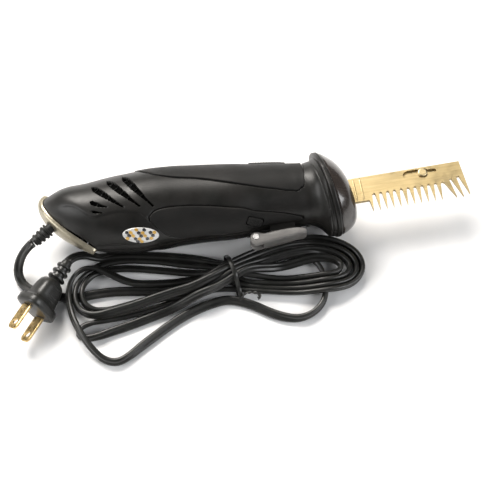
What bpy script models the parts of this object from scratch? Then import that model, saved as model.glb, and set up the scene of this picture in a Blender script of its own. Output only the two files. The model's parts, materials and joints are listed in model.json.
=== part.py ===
"""Electric uncapping knife: a corded motor handle that drives two toothed comb plates against each other.

The knife lies on its side. X runs along the blades towards their tip, Y points from the cutting teeth to
the back of the blades, and Z points up. The origin is the centre of the flat on the guard ring that the
knife lies on. Every length is in metres and every angle in degrees.
"""

import math

import bmesh
import bpy
import numpy as np
from mathutils import Matrix, Vector

# ---------------------------------------------------------------- driving dimensions
GAP = 0.0003                 # clearance between neighbouring pieces
AXIS_Z = 0.0245              # height of the parting plane, which is also the blades' plane
WALL = 0.0022                # thickness of the handle's shell
PAD_LIFT = 0.00045           # under the grip pads, so that their facets clear the shell's
PAD_THICKNESS = 0.0008       # soft grip moulded over the shell
TAIL_HALF_WIDTH = 0.0065     # half width of the handle where the tail trim closes it
SHOULDER_LENGTH = 0.016      # how far the handle takes to round out from that width

# The handle's section along X: (x, centre y, half height, half width).
HANDLE_SECTIONS = (
    (-0.1560, 0.0134, 0.0142, 0.0148),
    (-0.1480, 0.0132, 0.0170, 0.0178),
    (-0.1310, 0.0110, 0.0200, 0.0210),
    (-0.1190, 0.0104, 0.0216, 0.0230),
    (-0.1060, 0.0099, 0.0226, 0.0242),
    (-0.0960, 0.0103, 0.0226, 0.0236),
    (-0.0830, 0.0102, 0.0221, 0.0224),
    (-0.0680, 0.0089, 0.0215, 0.0215),
    (-0.0520, 0.0072, 0.0209, 0.0209),
    (-0.0380, 0.0063, 0.0193, 0.0196),
    (-0.0270, 0.0056, 0.0184, 0.0188),
    (-0.0170, 0.0045, 0.0178, 0.0182),
    (-0.0090, 0.0037, 0.0179, 0.0184),
    (-0.0050, 0.0029, 0.0198, 0.0202),
    (-0.0024, 0.0022, 0.0224, 0.0228),
    (-0.0010, 0.0018, 0.0240, 0.0240),
)
# The slanted cut at the tail, seen from the side: (y, x).
TAIL_CUT = (
    (-0.0090, -0.1318),
    (-0.0053, -0.1362),
    (0.0004, -0.1426),
    (0.0050, -0.1472),
    (0.0100, -0.1514),
    (0.0136, -0.1540),
    (0.0180, -0.1562),
    (0.0220, -0.1572),
    (0.0250, -0.1566),
    (0.0280, -0.1535),
)
TAIL_TRIM_THICKNESS = 0.0020

RELIEF_FACE = Vector((-0.1551, 0.0098, AXIS_Z))          # where the cord's sleeve leaves the tail trim
RELIEF_DIRECTION = Vector((-0.85, -0.44, -0.28)).normalized()
RELIEF_NECK_RADIUS = 0.0029
RELIEF_LENGTH = 0.0125

GUARD_CENTRE_Y = 0.0017
GUARD_RADIUS = 0.0245        # in Y; in Z the ring is cut flat at the same distance
GUARD_BULGE = 0.0253         # half width in Z before the flats are cut
GUARD_BORE = 0.0165
GUARD_BACK_X = -0.0010       # the ring's rear face, at the guard's centre
GUARD_THICKNESS = 0.0030
GUARD_RAKE = 0.15            # how far the guard leans back for each metre up
NOSE_RADIUS = 0.0238
NOSE_DEPTH = 0.0102
NOSE_WALL = 0.0022
BLADE_SLOT = (0.0182, 0.0052)        # opening in the nose for the blades: in Y and in Z

PLATE_THICKNESS = 0.0010     # one comb plate
PLATE_GAP = 0.0003           # between the two plates
BLADE_BACK_Y = 0.0083
BLADE_SHANK_Y = -0.0066
BLADE_REAR_X = -0.0130
BLADE_NOTCH_X = -0.0096
BLADE_STEP_X = 0.0240
TOOTH_PITCH = 0.00397
TOOTH_COUNT = 11
FIRST_TOOTH_X = 0.0251
TOOTH_TIP_Y = -0.0135
GULLET_Y = -0.0028
GULLET_HALF_WIDTH = 0.0009
# The three raked teeth at the tip: (rear root, tip, front root), each (x, y).
RAKED_TEETH = (
    ((0.0682, -0.0036), (0.0731, -0.0135), (0.0709, -0.0018)),
    ((0.0723, -0.0016), (0.0770, -0.0140), (0.0752, -0.0011)),
    ((0.0769, -0.0008), (0.0809, -0.0130), None),
)
BLADE_NOSE_X = 0.0789
SLOT_Y = 0.0047
SLOT_WIDE = (0.0458, 0.0602, 0.0053)      # from x, to x, width
SLOT_NARROW_END = 0.0653
SLOT_NARROW_WIDTH = 0.0030
RIVET_X = 0.0570
RIVET_NECK_RADIUS = 0.0012
RIVET_HEAD_RADIUS = 0.0026
RIVET_HEAD_HEIGHT = 0.0008

MOTOR_Y = 0.0115             # the motor shaft's height above the blade axis
SHAFT_RADIUS = 0.0020
WHEEL_X = -0.0540
WHEEL_Y = 0.0007
WHEEL_TEETH = 24
WORM_PITCH_RADIUS = 0.0026
WHEEL_PITCH_RADIUS = MOTOR_Y - WHEEL_Y - WORM_PITCH_RADIUS
WORM_LEAD = 2 * math.pi * WHEEL_PITCH_RADIUS / WHEEL_TEETH
WHEEL_HALF_THICKNESS = 0.0020
CRANK_RADIUS = 0.0030        # half of the blades' stroke
CRANK_PIN_RADIUS = 0.0015
HUB_RADIUS = 0.0050          # the wheel's journals, which turn in the gear frame's two plates
HUB_HEIGHT = 0.0039
PLATE_NEAR = 0.0024          # the gear frame's plates, from the parting plane
PLATE_FAR = 0.0038
ARM_LOW = 0.0045             # the drive arm's near face, from the parting plane
ARM_THICKNESS = 0.0016

TRIGGER_PIVOT = (-0.0435, -0.0188)
TRIGGER_HALF_WIDTH = 0.0045
TRIGGER_WEB_HALF_WIDTH = 0.0022
TRIGGER_PIN_RADIUS = 0.0017
PIN_CLEARANCE = 0.00035

RELEASE_X = -0.0428
RELEASE_ANGLE = 154.5
RELEASE_TILT = 26.0          # the buttons lean along the grip's edge
RELEASE_LENGTH = 0.0092
RELEASE_HEIGHT = 0.0055

BADGE_X = -0.1065
BADGE_ANGLE = 152.0
BADGE_HALF_LENGTH = 0.0100
BADGE_HALF_ANGLE = 13.0
BADGE_TWIST = 4.0            # its front end sits lower on the handle than its rear end
BADGE_THICKNESS = 0.0006

CORD_TUBE_RADIUS = 0.0020    # the flat cord's mean radius
HANK_HEIGHT = 0.0062
HANK_HUMP_HEIGHT = 0.0124

PLUG_FACE = (-0.1719, -0.0337, 0.0130)
PLUG_HEADING = 49.0          # direction from the face to the neck, in the XY plane
PLUG_ROLL = 58.0
PRONG_SPACING = 0.0127
PRONG_LENGTH = 0.0162
PRONG_WIDTH = 0.00635
PRONG_THICKNESS = 0.0015

ROUND_SIDES = 24
HALF_SECTION_STEPS = 12

MATERIALS = {
    "black_plastic": ((0.055, 0.054, 0.050), 0.50, 0.0),
    "soft_grip": ((0.020, 0.020, 0.019), 0.80, 0.0),
    "champagne_trim": ((0.40, 0.34, 0.21), 0.40, 0.6),
    "nose_gloss": ((0.10, 0.09, 0.085), 0.25, 0.0),
    "grey_plastic": ((0.36, 0.33, 0.30), 0.45, 0.0),
    "blade_steel": ((0.76, 0.58, 0.27), 0.35, 0.9),
    "steel": ((0.60, 0.60, 0.62), 0.30, 1.0),
    "laminated_steel": ((0.30, 0.30, 0.32), 0.50, 0.8),
    "copper": ((0.70, 0.32, 0.14), 0.40, 0.9),
    "nylon": ((0.75, 0.74, 0.68), 0.50, 0.0),
    "carbon": ((0.03, 0.03, 0.03), 0.60, 0.1),
    "badge_white": ((0.75, 0.72, 0.66), 0.40, 0.0),
    "cord_black": ((0.025, 0.025, 0.024), 0.45, 0.0),
    "brass": ((0.62, 0.44, 0.18), 0.30, 1.0),
}


# ---------------------------------------------------------------- helpers
def clear_scene():
    for item in list(bpy.data.objects):
        bpy.data.objects.remove(item, do_unlink=True)


def material(name):
    if name in bpy.data.materials:
        return bpy.data.materials[name]
    colour, roughness, metallic = MATERIALS[name]
    made = bpy.data.materials.new(name)
    made.use_nodes = True
    shader = made.node_tree.nodes["Principled BSDF"]
    shader.inputs["Base Color"].default_value = (*colour, 1.0)
    shader.inputs["Roughness"].default_value = roughness
    shader.inputs["Metallic"].default_value = metallic
    return made


def add_mesh(name, vertices, faces, finish, smooth_angle=40.0):
    """One closed body from its vertices and faces, with its faces turned to point out."""
    mesh = bpy.data.meshes.new(name)
    mesh.from_pydata([tuple(v) for v in vertices], [], faces)
    shape = bmesh.new()
    shape.from_mesh(mesh)
    bmesh.ops.recalc_face_normals(shape, faces=shape.faces)
    shape.to_mesh(mesh)
    shape.free()
    mesh.shade_smooth()
    mesh.set_sharp_from_angle(angle=math.radians(smooth_angle))
    mesh.materials.append(material(finish))
    made = bpy.data.objects.new(name, mesh)
    bpy.context.scene.collection.objects.link(made)
    return made


def set_origin(item, point):
    """Moves an object's origin to a point of the part, leaving its mesh where it is."""
    offset = Vector(point)
    item.data.transform(Matrix.Translation(-offset))
    item.location = offset


def combine(target, tool, operation):
    """Applies tool to target with an exact Boolean, then removes tool."""
    modifier = target.modifiers.new(operation.lower(), "BOOLEAN")
    modifier.operation = operation
    modifier.solver = "EXACT"
    modifier.object = tool
    bpy.context.view_layer.update()
    graph = bpy.context.evaluated_depsgraph_get()
    result = bpy.data.meshes.new_from_object(target.evaluated_get(graph))
    target.modifiers.clear()
    target.data = result
    bpy.data.objects.remove(tool, do_unlink=True)


def cut(target, tool):
    combine(target, tool, "DIFFERENCE")


def join(target, tool):
    combine(target, tool, "UNION")


def smooth_value(points, x):
    """Reads a smooth curve through points, each (x, value, ...), at x. Past its ends it stays level."""
    table = np.array(points, float)
    xs = table[:, 0]
    values = table[:, 1:]
    if x <= xs[0]:
        return values[0]
    if x >= xs[-1]:
        return values[-1]
    slopes = np.gradient(values, xs, axis=0)
    i = int(np.searchsorted(xs, x)) - 1
    step = xs[i + 1] - xs[i]
    t = (x - xs[i]) / step
    return (
        (2 * t**3 - 3 * t**2 + 1) * values[i]
        + (t**3 - 2 * t**2 + t) * step * slopes[i]
        + (3 * t**2 - 2 * t**3) * values[i + 1]
        + (t**3 - t**2) * step * slopes[i + 1]
    )


def curve_through(points, count, closed=False):
    """Evenly spaced points on a smooth curve through the given ones."""
    known = np.array(points, float)
    if closed:
        known = np.vstack([known[-2:], known, known[:3]])
    lengths = np.concatenate([[0], np.cumsum(np.linalg.norm(np.diff(known, axis=0), axis=1))])
    table = np.column_stack([lengths, known])
    first = lengths[2] if closed else lengths[0]
    last = lengths[-3] if closed else lengths[-1]
    steps = np.linspace(first, last, count + 1 if closed else count)
    if closed:
        steps = steps[:-1]
    return [smooth_value(table, s) for s in steps]


def circle(radius, sides, centre=(0.0, 0.0)):
    return [
        (centre[0] + radius * math.cos(2 * math.pi * i / sides),
         centre[1] + radius * math.sin(2 * math.pi * i / sides))
        for i in range(sides)
    ]


def loft(name, rings, finish, smooth_angle=40.0):
    """A solid through closed rings of equal length, with a flat cap at each end."""
    count = len(rings[0])
    vertices = [point for ring in rings for point in ring]
    faces = [tuple(range(count)), tuple(range(len(vertices) - count, len(vertices)))]
    for k in range(len(rings) - 1):
        for i in range(count):
            j = (i + 1) % count
            faces.append((k * count + i, k * count + j, (k + 1) * count + j, (k + 1) * count + i))
    return add_mesh(name, vertices, faces, finish, smooth_angle)


def strip_loft(name, outers, inners, finish, smooth_angle=40.0):
    """A curved plate: outers and inners are matching rows of points on its two faces."""
    steps = len(outers[0])
    ring = 2 * steps
    vertices = []
    for outer, inner in zip(outers, inners):
        vertices += list(outer) + list(inner)
    faces = []
    for k in range(len(outers) - 1):
        a, b = k * ring, (k + 1) * ring
        for j in range(steps - 1):
            faces.append((a + j, a + j + 1, b + j + 1, b + j))
            faces.append((a + steps + j, b + steps + j, b + steps + j + 1, a + steps + j + 1))
        for j in (0, steps - 1):
            faces.append((a + j, b + j, b + steps + j, a + steps + j))
    for a in (0, (len(outers) - 1) * ring):
        for j in range(steps - 1):
            faces.append((a + j, a + j + 1, a + steps + j + 1, a + steps + j))
    return add_mesh(name, vertices, faces, finish, smooth_angle)


def prism_z(name, outline, low, high, finish, smooth_angle=40.0):
    """An outline in XY, extruded from one height to another."""
    rings = [[(x, y, z) for x, y in outline] for z in (low, high)]
    return loft(name, rings, finish, smooth_angle)


def prism_x(name, outline, start, end, finish, smooth_angle=40.0):
    """An outline in YZ, extruded along X."""
    rings = [[(x, y, z) for y, z in outline] for x in (start, end)]
    return loft(name, rings, finish, smooth_angle)


def box(name, low, high, finish):
    outline = [(low[0], low[1]), (high[0], low[1]), (high[0], high[1]), (low[0], high[1])]
    return prism_z(name, outline, low[2], high[2], finish)


def turned(name, profile, origin, direction, finish, sides=ROUND_SIDES, ring=False):
    """A turned solid: profile holds (distance along the axis, radius). A ring's profile is a closed loop."""
    axis = Vector(direction).normalized()
    turn = Vector((0, 0, 1)).rotation_difference(axis).to_matrix()
    rows = []
    for distance, radius in profile:
        row = [turn @ Vector((x, y, distance)) + Vector(origin) for x, y in circle(radius, sides)]
        rows.append(row)
    if not ring:
        return loft(name, rows, finish)
    vertices = [point for row in rows for point in row]
    faces = []
    for k in range(len(rows)):
        m = (k + 1) % len(rows)
        for i in range(sides):
            j = (i + 1) % sides
            faces.append((k * sides + i, k * sides + j, m * sides + j, m * sides + i))
    return add_mesh(name, vertices, faces, finish)


def rod(name, start, end, radius, finish, sides=ROUND_SIDES):
    line = Vector(end) - Vector(start)
    return turned(name, [(0.0, radius), (line.length, radius)], start, line, finish, sides)


def tube(name, start, end, inner, outer, finish, sides=ROUND_SIDES):
    line = Vector(end) - Vector(start)
    profile = [(0.0, inner), (0.0, outer), (line.length, outer), (line.length, inner)]
    return turned(name, profile, start, line, finish, sides, ring=True)


def cord_tube(name, points, radius, finish):
    """A round wire or cord along the points, with both ends closed."""
    curve = bpy.data.curves.new(name, "CURVE")
    curve.dimensions = "3D"
    curve.bevel_depth = radius
    curve.bevel_resolution = 2
    curve.use_fill_caps = True
    spline = curve.splines.new("POLY")
    spline.points.add(len(points) - 1)
    for target, point in zip(spline.points, points):
        target.co = (*point, 1.0)
    curve.materials.append(material(finish))
    item = bpy.data.objects.new(name, curve)
    bpy.context.scene.collection.objects.link(item)
    return item


# ---------------------------------------------------------------- the handle's surface
def guard_x(y):
    """The guard's rear face at a height: it leans back towards the top."""
    return GUARD_BACK_X - GUARD_RAKE * (y - GUARD_CENTRE_Y)


def tail_x(y):
    return float(smooth_value(TAIL_CUT, y)[0])


def skin_point(x, angle, lift=0.0):
    """A point of the handle's skin at x, lifted off it: angle 0 is the spine and 90 faces +Z."""
    turn = math.radians(angle)
    centre, half_height, half_width = smooth_value(HANDLE_SECTIONS, x)
    y = centre + (half_height + lift) * math.cos(turn)
    rounding = min(max((x - tail_x(y)) / SHOULDER_LENGTH, 0.0), 1.0)
    swell = math.sqrt(1 - (1 - rounding) ** 2)
    half = TAIL_HALF_WIDTH + (half_width - TAIL_HALF_WIDTH) * swell
    return Vector((x, y, AXIS_Z + (half + lift) * math.sin(turn)))


def handle_point(share, angle, lift=0.0):
    """A point of the skin with share 0 on the slanted tail cut and share 1 at the guard's raked face."""
    x = tail_x(0.010) * (1 - share) + guard_x(0.0) * share
    for _ in range(14):
        y = skin_point(x, angle, lift).y
        x = tail_x(y) * (1 - share) + (guard_x(y) - GAP) * share
    return skin_point(x, angle, lift)


def share_at(x):
    """The share of the handle's length that a section at about x has."""
    return (x + 0.1530) / (0.1530 + GUARD_BACK_X)


HANDLE_STATIONS = (
    -0.1530, -0.1505, -0.1470, -0.1425, -0.1370, -0.1300, -0.1220, -0.1140, -0.1060, -0.0980, -0.0890,
    -0.0790, -0.0690, -0.0590, -0.0490, -0.0390, -0.0290, -0.0190, -0.0120, -0.0080, -0.0050, -0.0030,
    -0.0010,
)


def split_at_plane(point, side):
    """Keeps half the parting gap on one side (+1 above, -1 below) of the parting plane."""
    dz = max(side * (point.z - AXIS_Z), 0.0)
    return Vector((point.x, point.y, AXIS_Z + side * (GAP / 2 + dz * (1 - GAP / 2 / GUARD_RADIUS))))


def housing_shell(name, side):
    """One open half of the handle's shell."""
    angles = [180.0 * j / HALF_SECTION_STEPS * side for j in range(HALF_SECTION_STEPS + 1)]
    shares = [share_at(x) for x in HANDLE_STATIONS]
    outers = [[split_at_plane(handle_point(share, a), side) for a in angles] for share in shares]
    inners = [[split_at_plane(handle_point(share, a, -WALL), side) for a in angles] for share in shares]
    return strip_loft(name, outers, inners, "black_plastic", 50.0)


def rib(side, x, hole_radius):
    """A half bulkhead that joins the shell's wall and holds a round piece on the motor's axis."""
    centre, half_height, half_width = smooth_value(HANDLE_SECTIONS, x)
    outer = []
    inner = []
    for j in range(HALF_SECTION_STEPS + 1):
        turn = math.pi * j / HALF_SECTION_STEPS
        lift = GAP / 2
        outer.append((centre + (half_height - WALL / 2) * math.cos(turn),
                      AXIS_Z + side * (lift + (half_width - WALL / 2 - lift) * math.sin(turn))))
        inner.append((MOTOR_Y + hole_radius * math.cos(turn),
                      AXIS_Z + side * (lift + (hole_radius - lift) * math.sin(turn))))
    return prism_x("rib", outer + inner[::-1], x - 0.001, x + 0.001, "black_plastic")


SCREW_PLACES = ((-0.1420, 0.0205), (-0.1385, 0.0040), (-0.0750, -0.0063), (-0.0122, -0.0112))
BOSS_RADIUS = 0.0036
SCREW_HEAD_RADIUS = 0.0023
SCREW_HEAD_HEIGHT = 0.0018
SCREW_SINK = 0.0044          # how deep the underside of a screw's head sits below the skin


def skin_depth(x, y):
    """How far the shell's outside lies from the parting plane at a place."""
    centre, half_height, _ = smooth_value(HANDLE_SECTIONS, x)
    reach = min(max((y - centre) / half_height, -0.97), 0.97)
    return skin_point(x, math.degrees(math.acos(reach))).z - AXIS_Z


def screw_boss(x, y, side):
    """A post from the parting plane up into the shell's wall, its top following the skin."""
    ring = circle(BOSS_RADIUS, 12, (x, y))
    foot = AXIS_Z + side * GAP / 2
    vertices = [(px, py, foot) for px, py in ring]
    vertices += [(px, py, AXIS_Z + side * (skin_depth(px, py) - WALL / 2)) for px, py in ring]
    vertices.append((x, y, AXIS_Z + side * (skin_depth(x, y) - WALL / 2)))
    faces = [tuple(range(12))]
    for i in range(12):
        j = (i + 1) % 12
        faces.append((i, j, 12 + j, 12 + i))
        faces.append((12 + i, 12 + j, 24))
    return add_mesh("boss", vertices, faces, "black_plastic")


def screw_span(x, y):
    """A screw's two ends: the underside of its head and its tip, as heights."""
    depth = skin_depth(x, y)
    return AXIS_Z - depth + SCREW_SINK, AXIS_Z + depth - 0.0040


def screw_well(x, y):
    """The hole that a screw's head goes in through, on the lower side."""
    head_z, _ = screw_span(x, y)
    return rod("well", (x, y, -0.002), (x, y, head_z + GAP), SCREW_HEAD_RADIUS + 0.0004, "black_plastic", 12)


def add_screw_bosses(shell, side):
    for x, y in SCREW_PLACES:
        join(shell, screw_boss(x, y, side))
        head_z, tip_z = screw_span(x, y)
        if side > 0:
            cut(shell, rod("pilot", (x, y, AXIS_Z - 0.001), (x, y, tip_z + GAP), 0.0015, "black_plastic", 12))
        else:
            cut(shell, rod("hole", (x, y, AXIS_Z + 0.001), (x, y, head_z - 0.001), 0.0015, "black_plastic", 12))
            cut(shell, screw_well(x, y))


# Air slots, seen from the side: (rear-top x, y) to (front-bottom x, y), then the width at each end.
AIR_SLOTS = (
    (-0.1105, 0.0235, -0.0968, 0.0020, 0.0033, 0.0012),
    (-0.1193, 0.0223, -0.1045, 0.0028, 0.0032, 0.0012),
    (-0.1280, 0.0187, -0.1140, 0.0040, 0.0030, 0.0012),
    (-0.1310, 0.0090, -0.1205, 0.0042, 0.0028, 0.0012),
)


def add_air_slots(shell, side):
    for x0, y0, x1, y1, wide, narrow in AIR_SLOTS:
        along = Vector((x1 - x0, y1 - y0)).normalized()
        across = Vector((-along.y, along.x))
        start = Vector((x0, y0))
        end = Vector((x1, y1))
        outline = [
            start + across * wide / 4, start + along * wide * 0.6 + across * wide / 2,
            end + across * narrow / 2, end - across * narrow / 2,
            start + along * wide * 0.6 - across * wide / 2, start - across * wide / 4,
        ]
        low, high = sorted((AXIS_Z + side * 0.009, AXIS_Z + side * 0.030))
        cut(shell, prism_z("slot", [tuple(p) for p in outline], low, high, "black_plastic"))


def trigger_lug(side):
    """The tongue under the handle that carries the trigger's pin."""
    x, y = TRIGGER_PIVOT
    radius = 0.0029
    outline = [(x - 0.0078, y + 0.0058), (x - 0.0062, y + 0.0022), (x - 0.0040, y - 0.0008)]
    for angle in (-150, -120, -90, -60, -30, 0):
        turn = math.radians(angle)
        outline.append((x + radius * math.cos(turn), y + radius * math.sin(turn)))
    outline += [(x + radius, y + 0.0066), (x - 0.0060, y + 0.0072)]
    low, high = sorted((AXIS_Z + side * GAP / 2, AXIS_Z + side * 0.0021))
    lug = prism_z("lug", outline, low, high, "black_plastic")
    reach = (TRIGGER_PIN_RADIUS + PIN_CLEARANCE)
    cut(lug, rod("hole", (x, y, 0.0), (x, y, 2 * AXIS_Z), reach, "black_plastic", 16))
    return lug


def release_frame(side):
    """The place of a release button: its centre on the skin, its outward normal and its length axis."""
    centre = skin_point(RELEASE_X, side * RELEASE_ANGLE)
    turn = math.radians(RELEASE_ANGLE)
    normal = Vector((0.0, math.cos(turn), side * math.sin(turn)))
    around = Vector((0.0, -math.sin(turn), side * math.cos(turn)))
    tilt = math.radians(RELEASE_TILT)
    along = Vector((math.cos(tilt), 0.0, 0.0)) + around * math.sin(tilt)
    return centre, normal, along


def release_block(name, side, margin, low, high, finish):
    """A block on a release button's place, margin wider all round, from one depth to another."""
    centre, normal, along = release_frame(side)
    across = normal.cross(along)
    rings = []
    for depth in (low, high):
        ring = []
        for u, v in ((-1, -1), (1, -1), (1, 1), (-1, 1)):
            ring.append(centre + normal * depth + along * u * (RELEASE_LENGTH / 2 + margin)
                        + across * v * (RELEASE_HEIGHT / 2 + margin))
        rings.append(ring)
    return loft(name, rings, finish)


def make_housing(name, side):
    shell = housing_shell(name, side)
    add_air_slots(shell, side)
    for x, hole_radius in ((-0.1295, 0.0068), (-0.0945, 0.0163), (-0.0850, 0.0163)):
        join(shell, rib(side, x, hole_radius))
    add_screw_bosses(shell, side)
    low, high = sorted((AXIS_Z, AXIS_Z + side * 0.0029))
    if side > 0:
        low -= 0.001
    else:
        high += 0.001
    cut(shell, box("trigger_slot", (-0.0365, -0.0250, low), (-0.0185, -0.0080, high), "black_plastic"))
    join(shell, trigger_lug(side))
    cut(shell, release_block("hole", side, GAP, -0.0060, 0.0040, "black_plastic"))
    slider = (AXIS_Z - 0.0040, AXIS_Z + 0.0040)
    cut(shell, box("lock_slot", (-0.0365, 0.0150, slider[0]), (-0.0225, 0.0320, slider[1]), "black_plastic"))
    shell.name = name
    return shell


def make_tail_trim():
    """The plate that closes the tail: a bulged strip along the slanted cut, a little proud of the shell."""
    inners = []
    outers = []
    for angle in np.linspace(4.0, 176.0, 19):
        edge = handle_point(0.0, angle)
        y = edge.y + 0.0003 * math.cos(math.radians(angle))
        half = edge.z - AXIS_Z + 0.0003
        slope = (tail_x(y + 0.0005) - tail_x(y - 0.0005)) / 0.001
        normal = Vector((-1.0, slope, 0.0)).normalized()
        inner = []
        outer = []
        for across, lift in ((-1.0, 1.0), (-0.6, 1.3), (0.0, 1.45), (0.6, 1.3), (1.0, 1.0)):
            foot = Vector((tail_x(y), y, AXIS_Z + half * across))
            inner.append(foot + normal * GAP)
            outer.append(foot + normal * (GAP + TAIL_TRIM_THICKNESS * lift))
        inners.append(inner)
        outers.append(outer)
    trim = strip_loft("tail_trim", outers, inners, "champagne_trim")
    cut(trim, rod("hole", RELIEF_FACE - RELIEF_DIRECTION * 0.008, RELIEF_FACE + RELIEF_DIRECTION * 0.004,
                  RELIEF_NECK_RADIUS + GAP, "champagne_trim", 16))
    return trim


# ---------------------------------------------------------------- grips and badge
TOP_PAD_EDGE = (        # (x, angle of the pad's lower edge)
    (-0.1045, 14.0), (-0.1020, 34.0), (-0.0960, 54.0), (-0.0876, 66.0), (-0.0685, 76.0), (-0.0477, 89.5),
    (-0.0283, 103.0), (-0.0209, 107.0), (-0.0146, 104.0), (-0.0120, 90.0), (-0.0108, 56.0),
)
SIDE_PAD_EDGES = (      # (x, angle of the upper edge, angle of the lower edge)
    (-0.1003, 126.0, 132.0), (-0.0980, 121.0, 141.0), (-0.0952, 118.5, 149.0), (-0.0920, 117.6, 159.0),
    (-0.0875, 117.5, 168.0), (-0.0830, 117.8, 171.0), (-0.0705, 120.0, 172.0), (-0.0560, 125.0, 172.0),
    (-0.0480, 129.0, 169.0), (-0.0420, 136.0, 166.5), (-0.0303, 144.5, 166.5), (-0.0220, 152.0, 166.5),
    (-0.0160, 160.0, 166.0),
)


def skin_patch(name, edges, steps, finish):
    """A grip pad on the handle's skin: edges holds (x, first angle, last angle) along X."""
    low = PAD_LIFT
    high = PAD_LIFT + PAD_THICKNESS
    outers = []
    inners = []
    for x, first, last in edges:
        angles = [first + (last - first) * j / steps for j in range(steps + 1)]
        outers.append([skin_point(x, a, high) for a in angles])
        inners.append([skin_point(x, a, low) for a in angles])
    return strip_loft(name, outers, inners, finish, 60.0)


def make_top_pad():
    stations = [-0.1045, -0.1037, *np.linspace(-0.1020, -0.0940, 5), *np.linspace(-0.0890, -0.0220, 12)]
    stations += [-0.0190, -0.0165, -0.0146, -0.0132, -0.0120, -0.0113, -0.0108]
    edges = [(x, float(smooth_value(TOP_PAD_EDGE, x)[0])) for x in stations]
    pad = skin_patch("top_grip_pad", [(x, -a, a) for x, a in edges], 16, "soft_grip")
    cut(pad, box("opening", (-0.0365, 0.0150, AXIS_Z - 0.0040), (-0.0225, 0.0320, AXIS_Z + 0.0040), "soft_grip"))
    return pad


def make_side_pad(name, side):
    stations = np.linspace(-0.0960, -0.0220, 14)
    edges = [tuple(row) for row in SIDE_PAD_EDGES[:2]]
    edges += [(x, *smooth_value(SIDE_PAD_EDGES, x)) for x in stations]
    edges += [tuple(SIDE_PAD_EDGES[-1])]
    rows = [(x, side * first, side * last) for x, first, last in edges]
    pad = skin_patch(name, rows, 5, "soft_grip")
    cut(pad, release_block("hole", side, GAP, -0.0040, 0.0040, "soft_grip"))
    if side < 0:
        cut(pad, screw_well(*SCREW_PLACES[2]))
    return pad


def make_badge():
    """An oval plate on the upper side of the tail bulge."""
    rings = []
    for lift in (GAP, GAP + BADGE_THICKNESS):
        ring = []
        for i in range(ROUND_SIDES):
            turn = 2 * math.pi * i / ROUND_SIDES
            x = BADGE_X + BADGE_HALF_LENGTH * math.cos(turn)
            angle = BADGE_ANGLE + BADGE_HALF_ANGLE * math.sin(turn) + BADGE_TWIST * math.cos(turn)
            ring.append(skin_point(x, angle, lift))
        rings.append(ring)
    middle = [skin_point(BADGE_X, BADGE_ANGLE, lift) for lift in (GAP, GAP + BADGE_THICKNESS)]
    count = ROUND_SIDES
    vertices = rings[0] + rings[1] + middle
    faces = []
    for i in range(count):
        j = (i + 1) % count
        faces.append((i, j, count + j, count + i))
        faces.append((i, 2 * count, j))
        faces.append((count + i, count + j, 2 * count + 1))
    return add_mesh("badge", vertices, faces, "badge_white")


# ---------------------------------------------------------------- guard and nose
def guard_outline(scale, flats, bulge=GUARD_BULGE, radius=GUARD_RADIUS, steps=32):
    points = []
    for i in range(steps):
        turn = 2 * math.pi * i / steps
        z = bulge * scale * math.sin(turn)
        if flats:
            z = max(-AXIS_Z, min(AXIS_Z, z))
        points.append((GUARD_CENTRE_Y + radius * scale * math.cos(turn), AXIS_Z + z))
    return points


def make_guard_ring():
    """The finger guard: a raked ring with flats on both sides, which the knife lies on."""
    outer = guard_outline(1.0, True)
    inner = guard_outline(GUARD_BORE / GUARD_RADIUS, False)
    rows = []
    for outline, x_shift in ((outer, 0.0), (outer, GUARD_THICKNESS), (inner, GUARD_THICKNESS), (inner, 0.0)):
        rows.append([Vector((guard_x(y) + x_shift, y, z)) for y, z in outline])
    count = len(outer)
    vertices = [p for row in rows for p in row]
    faces = []
    for k in range(4):
        m = (k + 1) % 4
        for i in range(count):
            j = (i + 1) % count
            faces.append((k * count + i, k * count + j, m * count + j, m * count + i))
    return add_mesh("guard_ring", vertices, faces, "black_plastic")


def nose_depth(share, turn):
    """How far the nose stands out, from 0 at its rim (share 1) to its middle (share 0)."""
    power = 4.75 - 1.25 * math.cos(turn)
    return (NOSE_DEPTH - 0.0004 * math.cos(turn)) * (1 - share**power)


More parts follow.
